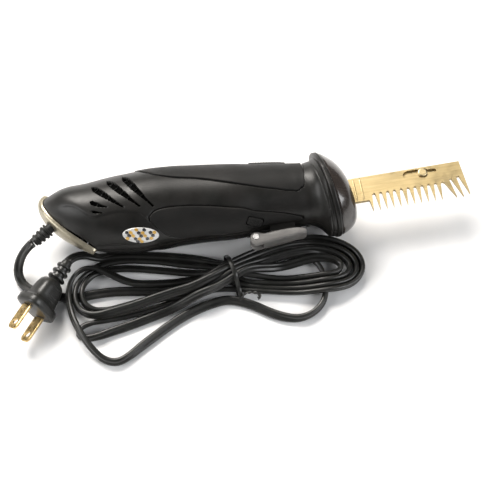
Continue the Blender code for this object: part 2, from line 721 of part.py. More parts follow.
def make_nose_cap():
    """The domed cap in front of the guard, with the slot that the blades come out of."""
    steps = 32
    rim = 0.0008
    shares = (1.0, 1.0, 0.97, 0.92, 0.84, 0.70, 0.50, 0.25)
    rows = []
    for k, share in enumerate(shares):
        row = []
        for i in range(steps):
            turn = 2 * math.pi * i / steps
            y = GUARD_CENTRE_Y + NOSE_RADIUS * share * math.cos(turn)
            z = AXIS_Z + NOSE_RADIUS * share * math.sin(turn)
            base = guard_x(y) + GUARD_THICKNESS + GAP
            x = base if k == 0 else base + rim + nose_depth(share, turn)
            row.append(Vector((x, y, z)))
        rows.append(row)
    inner_scale = (NOSE_RADIUS - NOSE_WALL) / NOSE_RADIUS
    inner_rows = []
    for share in (0.25, 0.60, 0.88, 1.0, 1.0):
        row = []
        for i in range(steps):
            turn = 2 * math.pi * i / steps
            scale = share * inner_scale
            y = GUARD_CENTRE_Y + NOSE_RADIUS * scale * math.cos(turn)
            z = AXIS_Z + NOSE_RADIUS * scale * math.sin(turn)
            base = guard_x(y) + GUARD_THICKNESS + GAP
            last = len(inner_rows) == 4
            x = base if last else base + max(rim + nose_depth(share, turn) - NOSE_WALL, 0.0002)
            row.append(Vector((x, y, z)))
        inner_rows.append(row)
    count = steps
    vertices = [p for row in rows for p in row]
    front = len(vertices)
    vertices.append(Vector((guard_x(GUARD_CENTRE_Y) + GUARD_THICKNESS + GAP + rim + NOSE_DEPTH,
                            GUARD_CENTRE_Y, AXIS_Z)))
    start = len(vertices)
    vertices += [p for row in inner_rows for p in row]
    back = len(vertices)
    vertices.append(vertices[front] - Vector((NOSE_WALL, 0, 0)))
    faces = []
    for i in range(count):
        j = (i + 1) % count
        for k in range(len(rows) - 1):
            faces.append((k * count + i, k * count + j, (k + 1) * count + j, (k + 1) * count + i))
        faces.append((front - count + i, front - count + j, front))
        faces.append((start + i, back, start + j))
        for k in range(len(inner_rows) - 1):
            a = start + k * count
            faces.append((a + i, a + count + i, a + count + j, a + j))
        a = start + (len(inner_rows) - 1) * count
        faces.append((i, a + i, a + j, j))
    cap = add_mesh("nose_cap", vertices, faces, "nose_gloss")
    middle_y = (BLADE_BACK_Y + BLADE_SHANK_Y) / 2
    half_y = BLADE_SLOT[0] / 2
    half_z = BLADE_SLOT[1] / 2
    cut(cap, box("slot", (0.002, middle_y - half_y, AXIS_Z - half_z),
                 (0.030, middle_y + half_y, AXIS_Z + half_z), "nose_gloss"))
    return cap


# ---------------------------------------------------------------- blades and drive
def comb_outline():
    """A comb plate's outline, from its rear notch along the teeth to the tip and back."""
    middle = (BLADE_BACK_Y + BLADE_SHANK_Y) / 2
    notch = 0.0023
    points = [(BLADE_REAR_X, BLADE_BACK_Y), (BLADE_REAR_X, middle + notch)]
    for angle in (90, 45, 0, -45, -90):
        turn = math.radians(angle)
        points.append((BLADE_NOTCH_X - notch + notch * math.cos(turn), middle + notch * math.sin(turn)))
    points += [(BLADE_REAR_X, middle - notch), (BLADE_REAR_X, BLADE_SHANK_Y)]
    points += [(BLADE_STEP_X, BLADE_SHANK_Y)]
    for i in range(TOOTH_COUNT):
        tip = FIRST_TOOTH_X + i * TOOTH_PITCH
        middle_x = tip + TOOTH_PITCH / 2
        points.append((tip, TOOTH_TIP_Y))
        points.append((middle_x - GULLET_HALF_WIDTH, GULLET_Y - 0.0008))
        points.append((middle_x - GULLET_HALF_WIDTH / 2, GULLET_Y))
        points.append((middle_x + GULLET_HALF_WIDTH / 2, GULLET_Y))
        if i < TOOTH_COUNT - 1:
            points.append((middle_x + GULLET_HALF_WIDTH, GULLET_Y - 0.0008))
    for rear, tip, front in RAKED_TEETH:
        points += [rear, tip]
        if front:
            points.append(front)
    points.append((BLADE_NOSE_X, BLADE_BACK_Y))
    return points


def keyhole_outline():
    """The long hole that lets the rivet slide: wide at the rear, narrow at the front."""
    start, end, width = SLOT_WIDE
    wide = width / 2
    narrow = SLOT_NARROW_WIDTH / 2
    points = []
    for angle in (90, 120, 150, 180, 210, 240, 270):
        turn = math.radians(angle)
        points.append((start + wide + wide * math.cos(turn), SLOT_Y + wide * math.sin(turn)))
    points += [(end - wide + 0.0012, SLOT_Y - wide), (end, SLOT_Y - narrow)]
    for angle in (-90, -45, 0, 45, 90):
        turn = math.radians(angle)
        points.append((SLOT_NARROW_END - narrow + narrow * math.cos(turn), SLOT_Y + narrow * math.sin(turn)))
    points += [(end, SLOT_Y + narrow), (end - wide + 0.0012, SLOT_Y + wide)]
    return points


def make_blade(name, side):
    low, high = sorted((AXIS_Z + side * PLATE_GAP / 2, AXIS_Z + side * (PLATE_GAP / 2 + PLATE_THICKNESS)))
    blade = prism_z(name, comb_outline(), low, high, "blade_steel", 30.0)
    if side > 0:
        cut(blade, prism_z("keyhole", keyhole_outline(), low - 0.002, high + 0.002, "blade_steel"))
    else:
        hole = RIVET_NECK_RADIUS + GAP
        cut(blade, rod("hole", (RIVET_X, SLOT_Y, low - 0.002), (RIVET_X, SLOT_Y, high + 0.002), hole,
                       "blade_steel", 16))
    return blade


def make_rivet():
    """The shouldered rivet that holds the two plates together."""
    reach = PLATE_GAP / 2 + PLATE_THICKNESS + GAP
    neck, head = RIVET_NECK_RADIUS, RIVET_HEAD_RADIUS
    end = reach + RIVET_HEAD_HEIGHT
    profile = [(-end, head * 0.8), (-end + 0.0002, head), (-reach, head), (-reach, neck), (reach, neck),
               (reach, head), (end - 0.0003, head), (end, head * 0.75)]
    return turned("blade_rivet", profile, (RIVET_X, SLOT_Y, AXIS_Z), (0, 0, 1), "blade_steel", 16)


def make_drive_arm(name, side):
    """A flat arm from the crank's yoke to the peg that drives a comb plate."""
    near = AXIS_Z + side * ARM_LOW
    far = AXIS_Z + side * (ARM_LOW + ARM_THICKNESS)
    yoke_half_x, yoke_half_y = 0.0048, 0.0082
    bar = 0.0030
    left, right = WHEEL_X - yoke_half_x, WHEEL_X + yoke_half_x
    outline = [(left, WHEEL_Y - yoke_half_y), (right, WHEEL_Y - yoke_half_y), (right, WHEEL_Y - bar),
               (-0.0180, WHEEL_Y - bar), (-0.0180, WHEEL_Y + bar), (right, WHEEL_Y + bar),
               (right, WHEEL_Y + yoke_half_y), (left, WHEEL_Y + yoke_half_y)]
    low, high = sorted((near, far))
    arm = prism_z(name, outline, low, high, "nylon")
    slot_x, slot_y = CRANK_PIN_RADIUS + GAP, CRANK_RADIUS + CRANK_PIN_RADIUS + GAP
    cut(arm, box("yoke", (WHEEL_X - slot_x, WHEEL_Y - slot_y, low - 0.001),
                 (WHEEL_X + slot_x, WHEEL_Y + slot_y, high + 0.001), "nylon"))
    carrier_near = AXIS_Z + side * (PLATE_GAP / 2 + PLATE_THICKNESS + GAP)
    low, high = sorted((carrier_near, far))
    join(arm, box("carrier", (-0.0190, WHEEL_Y - 0.0045, low), (-0.0045, WHEEL_Y + 0.0045, high), "nylon"))
    peg_end = AXIS_Z + side * (PLATE_GAP / 2 + 0.0001)
    peg_x = BLADE_NOTCH_X - 0.0023
    peg_y = (BLADE_BACK_Y + BLADE_SHANK_Y) / 2
    join(arm, rod("peg", (peg_x, peg_y, peg_end), (peg_x, peg_y, carrier_near + side * 0.001), 0.0019,
                  "nylon", 16))
    return arm


def wheel_outline(twist):
    """The worm wheel's toothed outline, with a gap facing the worm, turned by twist radians."""
    pitch = 2 * math.pi / WHEEL_TEETH
    tip, root = WHEEL_PITCH_RADIUS + 0.00038, WHEEL_PITCH_RADIUS - 0.00075
    points = []
    for i in range(WHEEL_TEETH):
        middle = math.pi / 2 + (i + 0.5) * pitch + twist
        for offset, radius in ((-0.22, root), (-0.09, tip), (0.09, tip), (0.22, root)):
            turn = middle + offset * pitch
            points.append((WHEEL_X + radius * math.cos(turn), WHEEL_Y + radius * math.sin(turn)))
    return points


def make_worm_wheel():
    half = WHEEL_HALF_THICKNESS
    lead_slope = WORM_LEAD / (2 * math.pi * WORM_PITCH_RADIUS)
    rings = []
    for dz in (-half, half):
        twist = dz * lead_slope / WHEEL_PITCH_RADIUS
        rings.append([(x, y, AXIS_Z + dz) for x, y in wheel_outline(twist)])
    wheel = loft("worm_wheel", rings, "nylon", 30.0)
    join(wheel, rod("hub", (WHEEL_X, WHEEL_Y, AXIS_Z - HUB_HEIGHT), (WHEEL_X, WHEEL_Y, AXIS_Z + HUB_HEIGHT),
                    HUB_RADIUS, "nylon"))
    for side in (1, -1):
        y = WHEEL_Y + side * CRANK_RADIUS
        join(wheel, rod("crank", (WHEEL_X, y, AXIS_Z + side * 0.0010),
                        (WHEEL_X, y, AXIS_Z + side * (ARM_LOW - GAP)), CRANK_PIN_RADIUS, "nylon", 16))
    set_origin(wheel, (WHEEL_X, WHEEL_Y, AXIS_Z))
    return wheel


def make_worm():
    """A single-start worm: rows of points that follow the thread, closed flat at both ends."""
    columns, rows_per_lead = 12, 6
    start, end = WHEEL_X - 0.0068, WHEEL_X + 0.0068
    core, tip = WORM_PITCH_RADIUS - 0.00070, WORM_PITCH_RADIUS + 0.00042
    radii = {0: tip, 1: tip, 2: core, 3: core, 4: core, 5: core}
    offsets = (-0.055, 0.055, 0.175, 0.38, 0.62, 0.825)
    turns = int((end - start) / WORM_LEAD) + 4
    shape = bmesh.new()
    grid = []
    for row in range(turns * rows_per_lead):
        lead, slot = divmod(row, rows_per_lead)
        line = []
        for column in range(columns):
            angle = 2 * math.pi * column / columns
            # The thread's crest faces the wheel (direction -Y) at the wheel's middle.
            x = WHEEL_X + WORM_LEAD * (lead + offsets[slot] + column / columns - 0.5 - turns // 2)
            radius = radii[slot]
            if not start < x < end:
                radius = core
                x = min(max(x, start), end)
            line.append(shape.verts.new((x, MOTOR_Y + radius * math.cos(angle),
                                         AXIS_Z + radius * math.sin(angle))))
        grid.append(line)
    for row in range(len(grid) - 1):
        for column in range(columns):
            following = row if column + 1 < columns else row - rows_per_lead
            if following < 0 or following + 1 >= len(grid):
                continue
            other = (column + 1) % columns
            shape.faces.new((grid[row][column], grid[following][other],
                             grid[following + 1][other], grid[row + 1][column]))
    bmesh.ops.remove_doubles(shape, verts=shape.verts, dist=0.000002)
    loose = [v for v in shape.verts if not v.link_faces]
    bmesh.ops.delete(shape, geom=loose, context="VERTS")
    for place in (start, end):
        rim = [e for e in shape.edges if e.is_boundary and abs(e.verts[0].co.x - place) < 1e-5]
        bmesh.ops.contextual_create(shape, geom=rim)
    bmesh.ops.recalc_face_normals(shape, faces=shape.faces)
    bmesh.ops.triangulate(shape, faces=shape.faces)
    mesh = bpy.data.meshes.new("worm")
    shape.to_mesh(mesh)
    shape.free()
    mesh.shade_smooth()
    mesh.set_sharp_from_angle(angle=math.radians(35))
    mesh.materials.append(material("steel"))
    worm = bpy.data.objects.new("worm", mesh)
    bpy.context.scene.collection.objects.link(worm)
    set_origin(worm, (WHEEL_X, MOTOR_Y, AXIS_Z))
    return worm


# ---------------------------------------------------------------- motor
BRUSH_WIRE_RADIUS = 0.00025
COMMUTATOR_X = (-0.1235, -0.1165)
ARMATURE_X = (-0.1080, -0.0820)
STATOR_X = (-0.1100, -0.0800)
FAN_X = (-0.0725, -0.0680)
FRONT_BEARING_X = (-0.0658, -0.0622)
REAR_BEARING_X = (-0.1318, -0.1272)


def notched_circle(radius, notch_radius, count, share):
    """A circle with square notches, in YZ about the motor's axis."""
    points = []
    for i in range(count):
        for offset, reach in ((0.0, radius), (1 - share, radius), (1 - share, notch_radius), (1.0, notch_radius)):
            turn = 2 * math.pi * (i + offset) / count
            points.append((MOTOR_Y + reach * math.cos(turn), AXIS_Z + reach * math.sin(turn)))
    return points


def bored(item, radius):
    cut(item, rod("bore", (-0.2, MOTOR_Y, AXIS_Z), (0.1, MOTOR_Y, AXIS_Z), radius, "steel", 16))
    return item


def make_rotor():
    axis = (MOTOR_Y, AXIS_Z)
    rod("rotor_shaft", (-0.1325, *axis), (WHEEL_X - 0.0068 - GAP, *axis), SHAFT_RADIUS, "steel", 16)
    bore = SHAFT_RADIUS + GAP
    bored(prism_x("commutator", notched_circle(0.0070, 0.0064, 12, 0.15), *COMMUTATOR_X, "copper", 30), bore)
    bored(prism_x("armature_core", notched_circle(0.0100, 0.0075, 12, 0.22), *ARMATURE_X,
                  "laminated_steel", 30), bore)
    bored(prism_x("cooling_fan", notched_circle(0.0125, 0.0050, 9, 0.62), *FAN_X, "nylon", 30), bore)
    make_worm()


def make_field_coil(name, side):
    """A saddle of wire between the stator and the armature, on one side of the motor."""
    inner, outer, half_angle = 0.0106, 0.0128, 62.0
    ring = []
    for radius, sweep in ((outer, (-1, -0.5, 0, 0.5, 1)), (inner, (1, 0.5, 0, -0.5, -1))):
        for share in sweep:
            turn = math.radians(90 * (1 - side) + half_angle * share)
            ring.append((MOTOR_Y + radius * math.cos(turn), AXIS_Z + radius * math.sin(turn)))
    prism_x(name, ring, -0.1140, -0.0760, "copper", 60)


def make_stator():
    tube("stator_core", (STATOR_X[0], MOTOR_Y, AXIS_Z), (STATOR_X[1], MOTOR_Y, AXIS_Z), 0.0131, 0.0160,
         "laminated_steel")
    make_field_coil("field_coil_spine", 1)
    make_field_coil("field_coil_belly", -1)
    bore = SHAFT_RADIUS + GAP
    for name, (start, end), radius in (("rear_bearing", REAR_BEARING_X, 0.0065),
                                       ("front_bearing", FRONT_BEARING_X, 0.0050)):
        tube(name, (start, MOTOR_Y, AXIS_Z), (end, MOTOR_Y, AXIS_Z), bore, radius, "steel", 20)


def make_brush(name_end, side):
    """A carbon brush in its square holder, pressing on the commutator from one side."""
    x = (COMMUTATOR_X[0] + COMMUTATOR_X[1]) / 2
    low, high = sorted((AXIS_Z + side * 0.0082, AXIS_Z + side * 0.0150))
    holder = box("brush_holder_" + name_end, (x - 0.0032, MOTOR_Y - 0.0032, low),
                 (x + 0.0032, MOTOR_Y + 0.0032, high), "nylon")
    cut(holder, box("way", (x - 0.0021, MOTOR_Y - 0.0021, low - 0.001),
                    (x + 0.0021, MOTOR_Y + 0.0021, high + 0.001), "nylon"))
    low, high = sorted((AXIS_Z + side * 0.0073, AXIS_Z + side * 0.0120))
    box("carbon_brush_" + name_end, (x - 0.0018, MOTOR_Y - 0.0018, low),
        (x + 0.0018, MOTOR_Y + 0.0018, high), "carbon")
    coil = []
    for i in range(37):
        turn = 2 * math.pi * i / 9
        coil.append((x + 0.0012 * math.cos(turn), MOTOR_Y + 0.0012 * math.sin(turn),
                     AXIS_Z + side * (0.0126 + 0.0034 * i / 36)))
    cord_tube("brush_spring_" + name_end, coil, BRUSH_WIRE_RADIUS, "steel")


def make_gear_frame():
    """The bracket round the gears: a wall that holds the front bearing and two plates for the wheel's hub."""
    frame = box("gear_frame", (-0.0660, -0.0055, AXIS_Z - 0.0115), (-0.0634, 0.0205, AXIS_Z + 0.0115), "steel")
    for side in (1, -1):
        low, high = sorted((AXIS_Z + side * PLATE_NEAR, AXIS_Z + side * PLATE_FAR))
        join(frame, box("plate", (-0.0650, -0.0055, low), (-0.0470, 0.0079, high), "steel"))
        cut(frame, rod("seat", (WHEEL_X, WHEEL_Y, low - 0.001), (WHEEL_X, WHEEL_Y, high + 0.001),
                       HUB_RADIUS + 0.00015, "steel"))
    cut(frame, rod("seat", (-0.0700, MOTOR_Y, AXIS_Z), (-0.0600, MOTOR_Y, AXIS_Z), 0.0053, "steel", 20))
    return frame


# ---------------------------------------------------------------- trigger, switch and buttons
def make_trigger():
    px, py = TRIGGER_PIVOT
    outline = [(-0.0468, -0.0190), (-0.0466, -0.0212), (-0.0456, -0.0228), (-0.0440, -0.0236),
               (-0.0400, -0.0234), (-0.0300, -0.0223), (-0.0200, -0.0213), (-0.0158, -0.0209),
               (-0.0147, -0.0199), (-0.0155, -0.0184), (-0.0176, -0.0175), (-0.0233, -0.0168),
               (-0.0319, -0.0169), (-0.0400, -0.0170), (-0.0420, -0.0160), (-0.0443, -0.0158),
               (-0.0460, -0.0170)]
    half = TRIGGER_HALF_WIDTH
    lever = prism_z("trigger", outline, AXIS_Z - half, AXIS_Z + half, "grey_plastic", 30)
    web = TRIGGER_WEB_HALF_WIDTH
    join(lever, box("web", (-0.0345, -0.0185, AXIS_Z - web), (-0.0205, -0.0116, AXIS_Z + web), "grey_plastic"))
    cut(lever, box("fork", (-0.0520, -0.0300, AXIS_Z - 0.0025), (-0.0398, -0.0100, AXIS_Z + 0.0025),
                   "grey_plastic"))
    hole = TRIGGER_PIN_RADIUS + PIN_CLEARANCE
    cut(lever, rod("hole", (px, py, 0.0), (px, py, 2 * AXIS_Z), hole, "grey_plastic", 20))
    set_origin(lever, (px, py, AXIS_Z))
    reach = half + 0.0002
    rod("trigger_pin", (px, py, AXIS_Z - reach), (px, py, AXIS_Z + reach), TRIGGER_PIN_RADIUS, "steel", 20)


SWITCH_X = (-0.0330, -0.0200)
PLUNGER_X = -0.0240
PLUNGER_RADIUS = 0.0011


def make_switch():
    body = box("switch_body", (SWITCH_X[0], -0.0086, AXIS_Z - 0.0030), (SWITCH_X[1], -0.0044, AXIS_Z + 0.0030),
               "carbon")
    cut(body, rod("way", (PLUNGER_X, -0.0100, AXIS_Z), (PLUNGER_X, -0.0049, AXIS_Z), PLUNGER_RADIUS + GAP,
                  "carbon", 12))
    rod("switch_plunger", (PLUNGER_X, -0.0112, AXIS_Z), (PLUNGER_X, -0.0072, AXIS_Z), PLUNGER_RADIUS,
        "grey_plastic", 12)


def make_release_button(name, side):
    button = release_block(name, side, 0.0, -0.0030, 0.0012, "soft_grip")
    centre, _, _ = release_frame(side)
    set_origin(button, centre)


def make_lock_slider():
    """The slide-on lock on the spine: a ridged cap with a foot that runs in the handle's slot."""
    spine = skin_point(-0.0300, 0.0).y
    outers = []
    inners = []
    stations = [-0.0396, -0.0385] + [-0.0365 + 0.0155 * i / 6 for i in range(7)] + [-0.0200, -0.0190]
    for k, x in enumerate(stations):
        end = k in (0, len(stations) - 1)
        top = 0.0019 if end else 0.0026
        angles = [-20.0 + 40.0 * j / 4 for j in range(5)]
        outers.append([skin_point(x, a, top) for a in angles])
        inners.append([skin_point(x, a, 0.00155) for a in angles])
    slider = strip_loft("lock_slider", outers, inners, "soft_grip", 50)
    join(slider, box("foot", (-0.0325, spine - 0.0050, AXIS_Z - 0.0030), (-0.0265, spine + 0.0018, AXIS_Z + 0.0030),
                     "soft_grip"))
    return slider


def make_screws():
    for number, (x, y) in enumerate(SCREW_PLACES, 1):
        head_z, tip_z = screw_span(x, y)
        profile = [(-SCREW_HEAD_HEIGHT, 0.0015), (-0.0014, SCREW_HEAD_RADIUS), (0.0, SCREW_HEAD_RADIUS),
                   (0.0, 0.0012), (tip_z - head_z, 0.0012)]
        turned("housing_screw_" + str(number), profile, (x, y, head_z), (0, 0, 1), "steel", 12)


# ---------------------------------------------------------------- cord and plug
LEAD_ROUTE = (
    (-0.1664, 0.0042, 0.0207), (-0.1696, 0.0031, 0.0186), (-0.1727, 0.0019, 0.0148), (-0.1754, 0.0001, 0.0103),
    (-0.1773, -0.0027, 0.0062), (-0.1778, -0.0066, 0.0034), (-0.1764, -0.0111, 0.0022),
    (-0.1732, -0.0150, 0.00205), (-0.1688, -0.0178, 0.00205), (-0.1637, -0.0199, 0.00205),
    (-0.1580, -0.0222, 0.00205), (-0.1525, -0.0248, 0.00205),
)
END_ROUTE = (
    (-0.1491, -0.0075, 0.0130), (-0.1459, -0.0048, 0.0119), (-0.1420, -0.0031, 0.0094),
    (-0.1385, -0.0022, 0.0068), (-0.1352, -0.0026, 0.0046), (-0.1325, -0.0033, 0.0033),
)
HANK_OUTLINE = (
    (-0.1272, -0.0048), (-0.1200, -0.0048), (-0.1080, -0.0064), (-0.0970, -0.0078), (-0.0880, -0.0112),
    (-0.0790, -0.0150), (-0.0690, -0.0184), (-0.0600, -0.0180), (-0.0480, -0.0142), (-0.0360, -0.0113),
    (-0.0230, -0.0104), (-0.0120, -0.0130), (-0.0030, -0.0166), (0.0060, -0.0188), (0.0130, -0.0234),
    (0.0178, -0.0300), (0.0180, -0.0366), (0.0136, -0.0430), (0.0040, -0.0478), (-0.0050, -0.0530),
    (-0.0110, -0.0610), (-0.0210, -0.0650), (-0.0340, -0.0644), (-0.0460, -0.0588), (-0.0580, -0.0516),
    (-0.0700, -0.0462), (-0.0860, -0.0478), (-0.1000, -0.0562), (-0.1120, -0.0650), (-0.1230, -0.0706),
    (-0.1330, -0.0714), (-0.1420, -0.0656), (-0.1490, -0.0570), (-0.1512, -0.0470), (-0.1530, -0.0380),
    (-0.1520, -0.0250), (-0.1476, -0.0180), (-0.1410, -0.0115), (-0.1330, -0.0082),
)
HUMP_CENTRE = (-0.0600, -0.0310)
HUMP_HALF_SIZE = (0.0230, 0.0118)
TIE_X = -0.0585


def make_hank():
    """The outer shape of the coiled cord: a flat outline, with a hump where its runs cross."""
    outline = [tuple(p) for p in curve_through(HANK_OUTLINE, 60, closed=True)]
    hank = prism_z("cord_hank", outline, 0.0001, HANK_HEIGHT, "cord_black", 30)
    oval = []
    for i in range(ROUND_SIDES):
        turn = 2 * math.pi * i / ROUND_SIDES
        oval.append((math.copysign(abs(math.cos(turn)) ** 0.7, math.cos(turn)),
                     math.copysign(abs(math.sin(turn)) ** 0.7, math.sin(turn))))
    rings = []
    for z, scale in ((0.0030, 1.0), (0.0090, 0.96), (HANK_HUMP_HEIGHT, 0.80)):
        rings.append([(HUMP_CENTRE[0] + HUMP_HALF_SIZE[0] * scale * x,
                       HUMP_CENTRE[1] + HUMP_HALF_SIZE[1] * scale * y, z) for x, y in oval])
    join(hank, loft("hump", rings, "cord_black"))


def make_tie():
    """The twist tie: a narrow strap over the crossing."""
    across = ((-0.0172, HANK_HEIGHT + 0.0004), (-0.0182, 0.0100), (-0.0212, HANK_HUMP_HEIGHT + 0.0004),
              (-0.0405, HANK_HUMP_HEIGHT + 0.0004), (-0.0436, 0.0100), (-0.0446, HANK_HEIGHT + 0.0004))
    outer = [(y, z) for y, z in across]
    middle_y, lift = -0.0310, 0.0009
    upper = [(middle_y + (y - middle_y) * 1.05, z + (lift if 0 < k < 5 else 0.0)) for k, (y, z) in enumerate(across)]
    outline = upper + outer[::-1]
    prism_x("cord_tie", outline, TIE_X - 0.0011, TIE_X + 0.0011, "cord_black", 30)


def plug_axes():
    heading = math.radians(PLUG_HEADING)
    roll = math.radians(PLUG_ROLL)
    along = Vector((math.cos(heading), math.sin(heading), 0.0))
    level = Vector((math.sin(heading), -math.cos(heading), 0.0))
    wide = level * math.cos(roll) - Vector((0, 0, 1)) * math.sin(roll)
    thick = level * math.sin(roll) + Vector((0, 0, 1)) * math.cos(roll)
    return along, wide, thick


# The plug's body: (distance from its face, half width, half thickness).
PLUG_SECTIONS = (
    (0.0000, 0.0108, 0.0084), (0.0012, 0.0116, 0.0090), (0.0048, 0.0114, 0.0088), (0.0068, 0.0090, 0.0072),
    (0.0100, 0.0084, 0.0066), (0.0160, 0.0078, 0.0062), (0.0200, 0.0060, 0.0052), (0.0212, 0.0036, 0.0036),
    (0.0222, 0.0036, 0.0036), (0.0223, 0.0052, 0.0050), (0.0240, 0.0052, 0.0050), (0.0241, 0.0034, 0.0034),
    (0.0262, 0.0034, 0.0034), (0.0263, 0.0048, 0.0046), (0.0280, 0.0048, 0.0046), (0.0281, 0.0032, 0.0032),
    (0.0300, 0.0032, 0.0032), (0.0301, 0.0044, 0.0042), (0.0316, 0.0044, 0.0042), (0.0317, 0.0031, 0.0031),
    (0.0343, 0.0030, 0.0030),
)


def make_plug():
    along, wide, thick = plug_axes()
    face = Vector(PLUG_FACE)
    rings = []
    for distance, half_wide, half_thick in PLUG_SECTIONS:
        power = 0.67 if distance < 0.020 else 1.0
        ring = []
        for i in range(20):
            turn = 2 * math.pi * i / 20
            u = math.copysign(abs(math.cos(turn)) ** power, math.cos(turn)) * half_wide
            v = math.copysign(abs(math.sin(turn)) ** power, math.sin(turn)) * half_thick
            ring.append(face + along * distance + wide * u + thick * v)
        rings.append(ring)
    loft("plug_body", rings, "cord_black", 35)
    for number, side in ((1, -1), (2, 1)):
        centre = face + wide * side * PRONG_SPACING / 2 - along * GAP
        half_w, half_t, length = PRONG_WIDTH / 2, PRONG_THICKNESS / 2, PRONG_LENGTH
        rings = []
        for distance, v, u in ((0.0, half_w, half_t), (length - 0.0022, half_w, half_t),
                               (length - 0.0006, half_w * 0.8, half_t * 0.9), (length, half_w * 0.55, half_t * 0.5)):
            foot = centre - along * distance
            rings.append([foot + wide * u * a + thick * v * b for a, b in ((-1, -1), (1, -1), (1, 1), (-1, 1))])
        prong = loft("plug_prong_" + str(number), rings, "brass", 20)
        hole = centre - along * (length - 0.0045)
        cut(prong, rod("hole", hole - wide * 0.003, hole + wide * 0.003, 0.0017, "brass", 16))


def make_strain_relief():
    """The ribbed sleeve that guards the cord where it leaves the tail."""
    neck = RELIEF_NECK_RADIUS
    profile = [(-0.0042, neck), (0.0018, neck), (0.0018, 0.0041), (0.0030, 0.0040)]
    for k in range(3):
        start = 0.0032 + 0.0028 * k
        profile += [(start, 0.0031 - 0.0001 * k), (start + 0.0009, 0.0031 - 0.0001 * k),
                    (start + 0.0011, 0.0039 - 0.0002 * k), (start + 0.0026, 0.0038 - 0.0002 * k)]
    profile += [(RELIEF_LENGTH, 0.0030)]
    turned("strain_relief", profile, RELIEF_FACE, RELIEF_DIRECTION, "cord_black", 16)


# ---------------------------------------------------------------- the part
def make_part():
    clear_scene()
    make_housing("housing_upper", 1)
    make_housing("housing_lower", -1)
    make_tail_trim()
    make_guard_ring()
    make_nose_cap()
    make_top_pad()
    make_side_pad("side_grip_pad_upper", 1)
    make_side_pad("side_grip_pad_lower", -1)
    make_badge()
    make_blade("blade_upper", 1)
    make_blade("blade_lower", -1)
    make_rivet()
    make_drive_arm("drive_arm_upper", 1)
    make_drive_arm("drive_arm_lower", -1)
    make_worm_wheel()
    make_rotor()
    make_stator()
    make_brush("upper", 1)
    make_brush("lower", -1)
    make_gear_frame()
    make_trigger()
    make_switch()
    make_release_button("release_button_upper", 1)
    make_release_button("release_button_lower", -1)
    make_lock_slider()
    make_screws()
    make_strain_relief()
    cord_tube("cord_lead", curve_through(LEAD_ROUTE, 3 * len(LEAD_ROUTE)), CORD_TUBE_RADIUS, "cord_black")
    cord_tube("cord_end", curve_through(END_ROUTE, 3 * len(END_ROUTE)), CORD_TUBE_RADIUS, "cord_black")
    make_hank()
    make_tie()
    make_plug()


make_part()
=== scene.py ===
"""Looks of the electric uncapping knife: smooth pieces, procedural materials, floor, light and camera."""

import json
import math

import bmesh
import bpy
import numpy as np
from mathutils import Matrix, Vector


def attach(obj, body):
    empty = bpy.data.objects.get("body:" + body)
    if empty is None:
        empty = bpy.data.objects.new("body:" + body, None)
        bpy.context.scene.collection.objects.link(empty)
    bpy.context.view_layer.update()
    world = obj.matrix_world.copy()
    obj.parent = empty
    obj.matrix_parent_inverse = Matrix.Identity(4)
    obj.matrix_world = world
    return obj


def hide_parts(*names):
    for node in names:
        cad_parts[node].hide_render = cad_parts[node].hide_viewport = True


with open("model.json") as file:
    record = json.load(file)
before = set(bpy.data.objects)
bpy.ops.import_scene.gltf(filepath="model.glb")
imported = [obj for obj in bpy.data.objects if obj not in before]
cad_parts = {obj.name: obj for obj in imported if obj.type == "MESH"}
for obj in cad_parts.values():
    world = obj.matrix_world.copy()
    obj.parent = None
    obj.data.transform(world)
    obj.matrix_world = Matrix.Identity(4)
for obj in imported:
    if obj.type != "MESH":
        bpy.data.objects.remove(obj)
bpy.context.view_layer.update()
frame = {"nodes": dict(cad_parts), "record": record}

# ---------------------------------------------------------------- dimensions shared with the CAD, in metres
GAP = 0.0003
AXIS_Z = 0.0245
WALL = 0.0022
TAIL_HALF_WIDTH = 0.0065
SHOULDER_LENGTH = 0.016
HANDLE_SECTIONS = (      # (x, centre y, half height, half width)
    (-0.1560, 0.0134, 0.0142, 0.0148), (-0.1480, 0.0132, 0.0170, 0.0178), (-0.1310, 0.0110, 0.0200, 0.0210),
    (-0.1190, 0.0104, 0.0216, 0.0230), (-0.1060, 0.0099, 0.0226, 0.0242), (-0.0960, 0.0103, 0.0226, 0.0236),
    (-0.0830, 0.0102, 0.0221, 0.0224), (-0.0680, 0.0089, 0.0215, 0.0215), (-0.0520, 0.0072, 0.0209, 0.0209),
    (-0.0380, 0.0063, 0.0193, 0.0196), (-0.0270, 0.0056, 0.0184, 0.0188), (-0.0170, 0.0045, 0.0178, 0.0182),
    (-0.0090, 0.0037, 0.0179, 0.0184), (-0.0050, 0.0029, 0.0198, 0.0202), (-0.0024, 0.0022, 0.0224, 0.0228),
    (-0.0010, 0.0018, 0.0240, 0.0240),
)
TAIL_CUT = (             # (y, x)
    (-0.0090, -0.1318), (-0.0053, -0.1362), (0.0004, -0.1426), (0.0050, -0.1472), (0.0100, -0.1514),
    (0.0136, -0.1540), (0.0180, -0.1562), (0.0220, -0.1572), (0.0250, -0.1566), (0.0280, -0.1535),
)
TAIL_TRIM_THICKNESS = 0.0020
RELIEF_FACE = Vector((-0.1551, 0.0098, AXIS_Z))
RELIEF_DIRECTION = Vector((-0.85, -0.44, -0.28)).normalized()
RELIEF_LENGTH = 0.0125
GUARD_CENTRE_Y = 0.0017
GUARD_RADIUS = 0.0245
GUARD_BULGE = 0.0253
GUARD_BORE = 0.0165
GUARD_BACK_X = -0.0010
GUARD_THICKNESS = 0.0030
GUARD_RAKE = 0.15
NOSE_RADIUS = 0.0238
NOSE_DEPTH = 0.0102
NOSE_WALL = 0.0022
NOSE_RIM = 0.0008
BLADE_SLOT = (0.0182, 0.0052)
BLADE_BACK_Y = 0.0083
BLADE_SHANK_Y = -0.0066
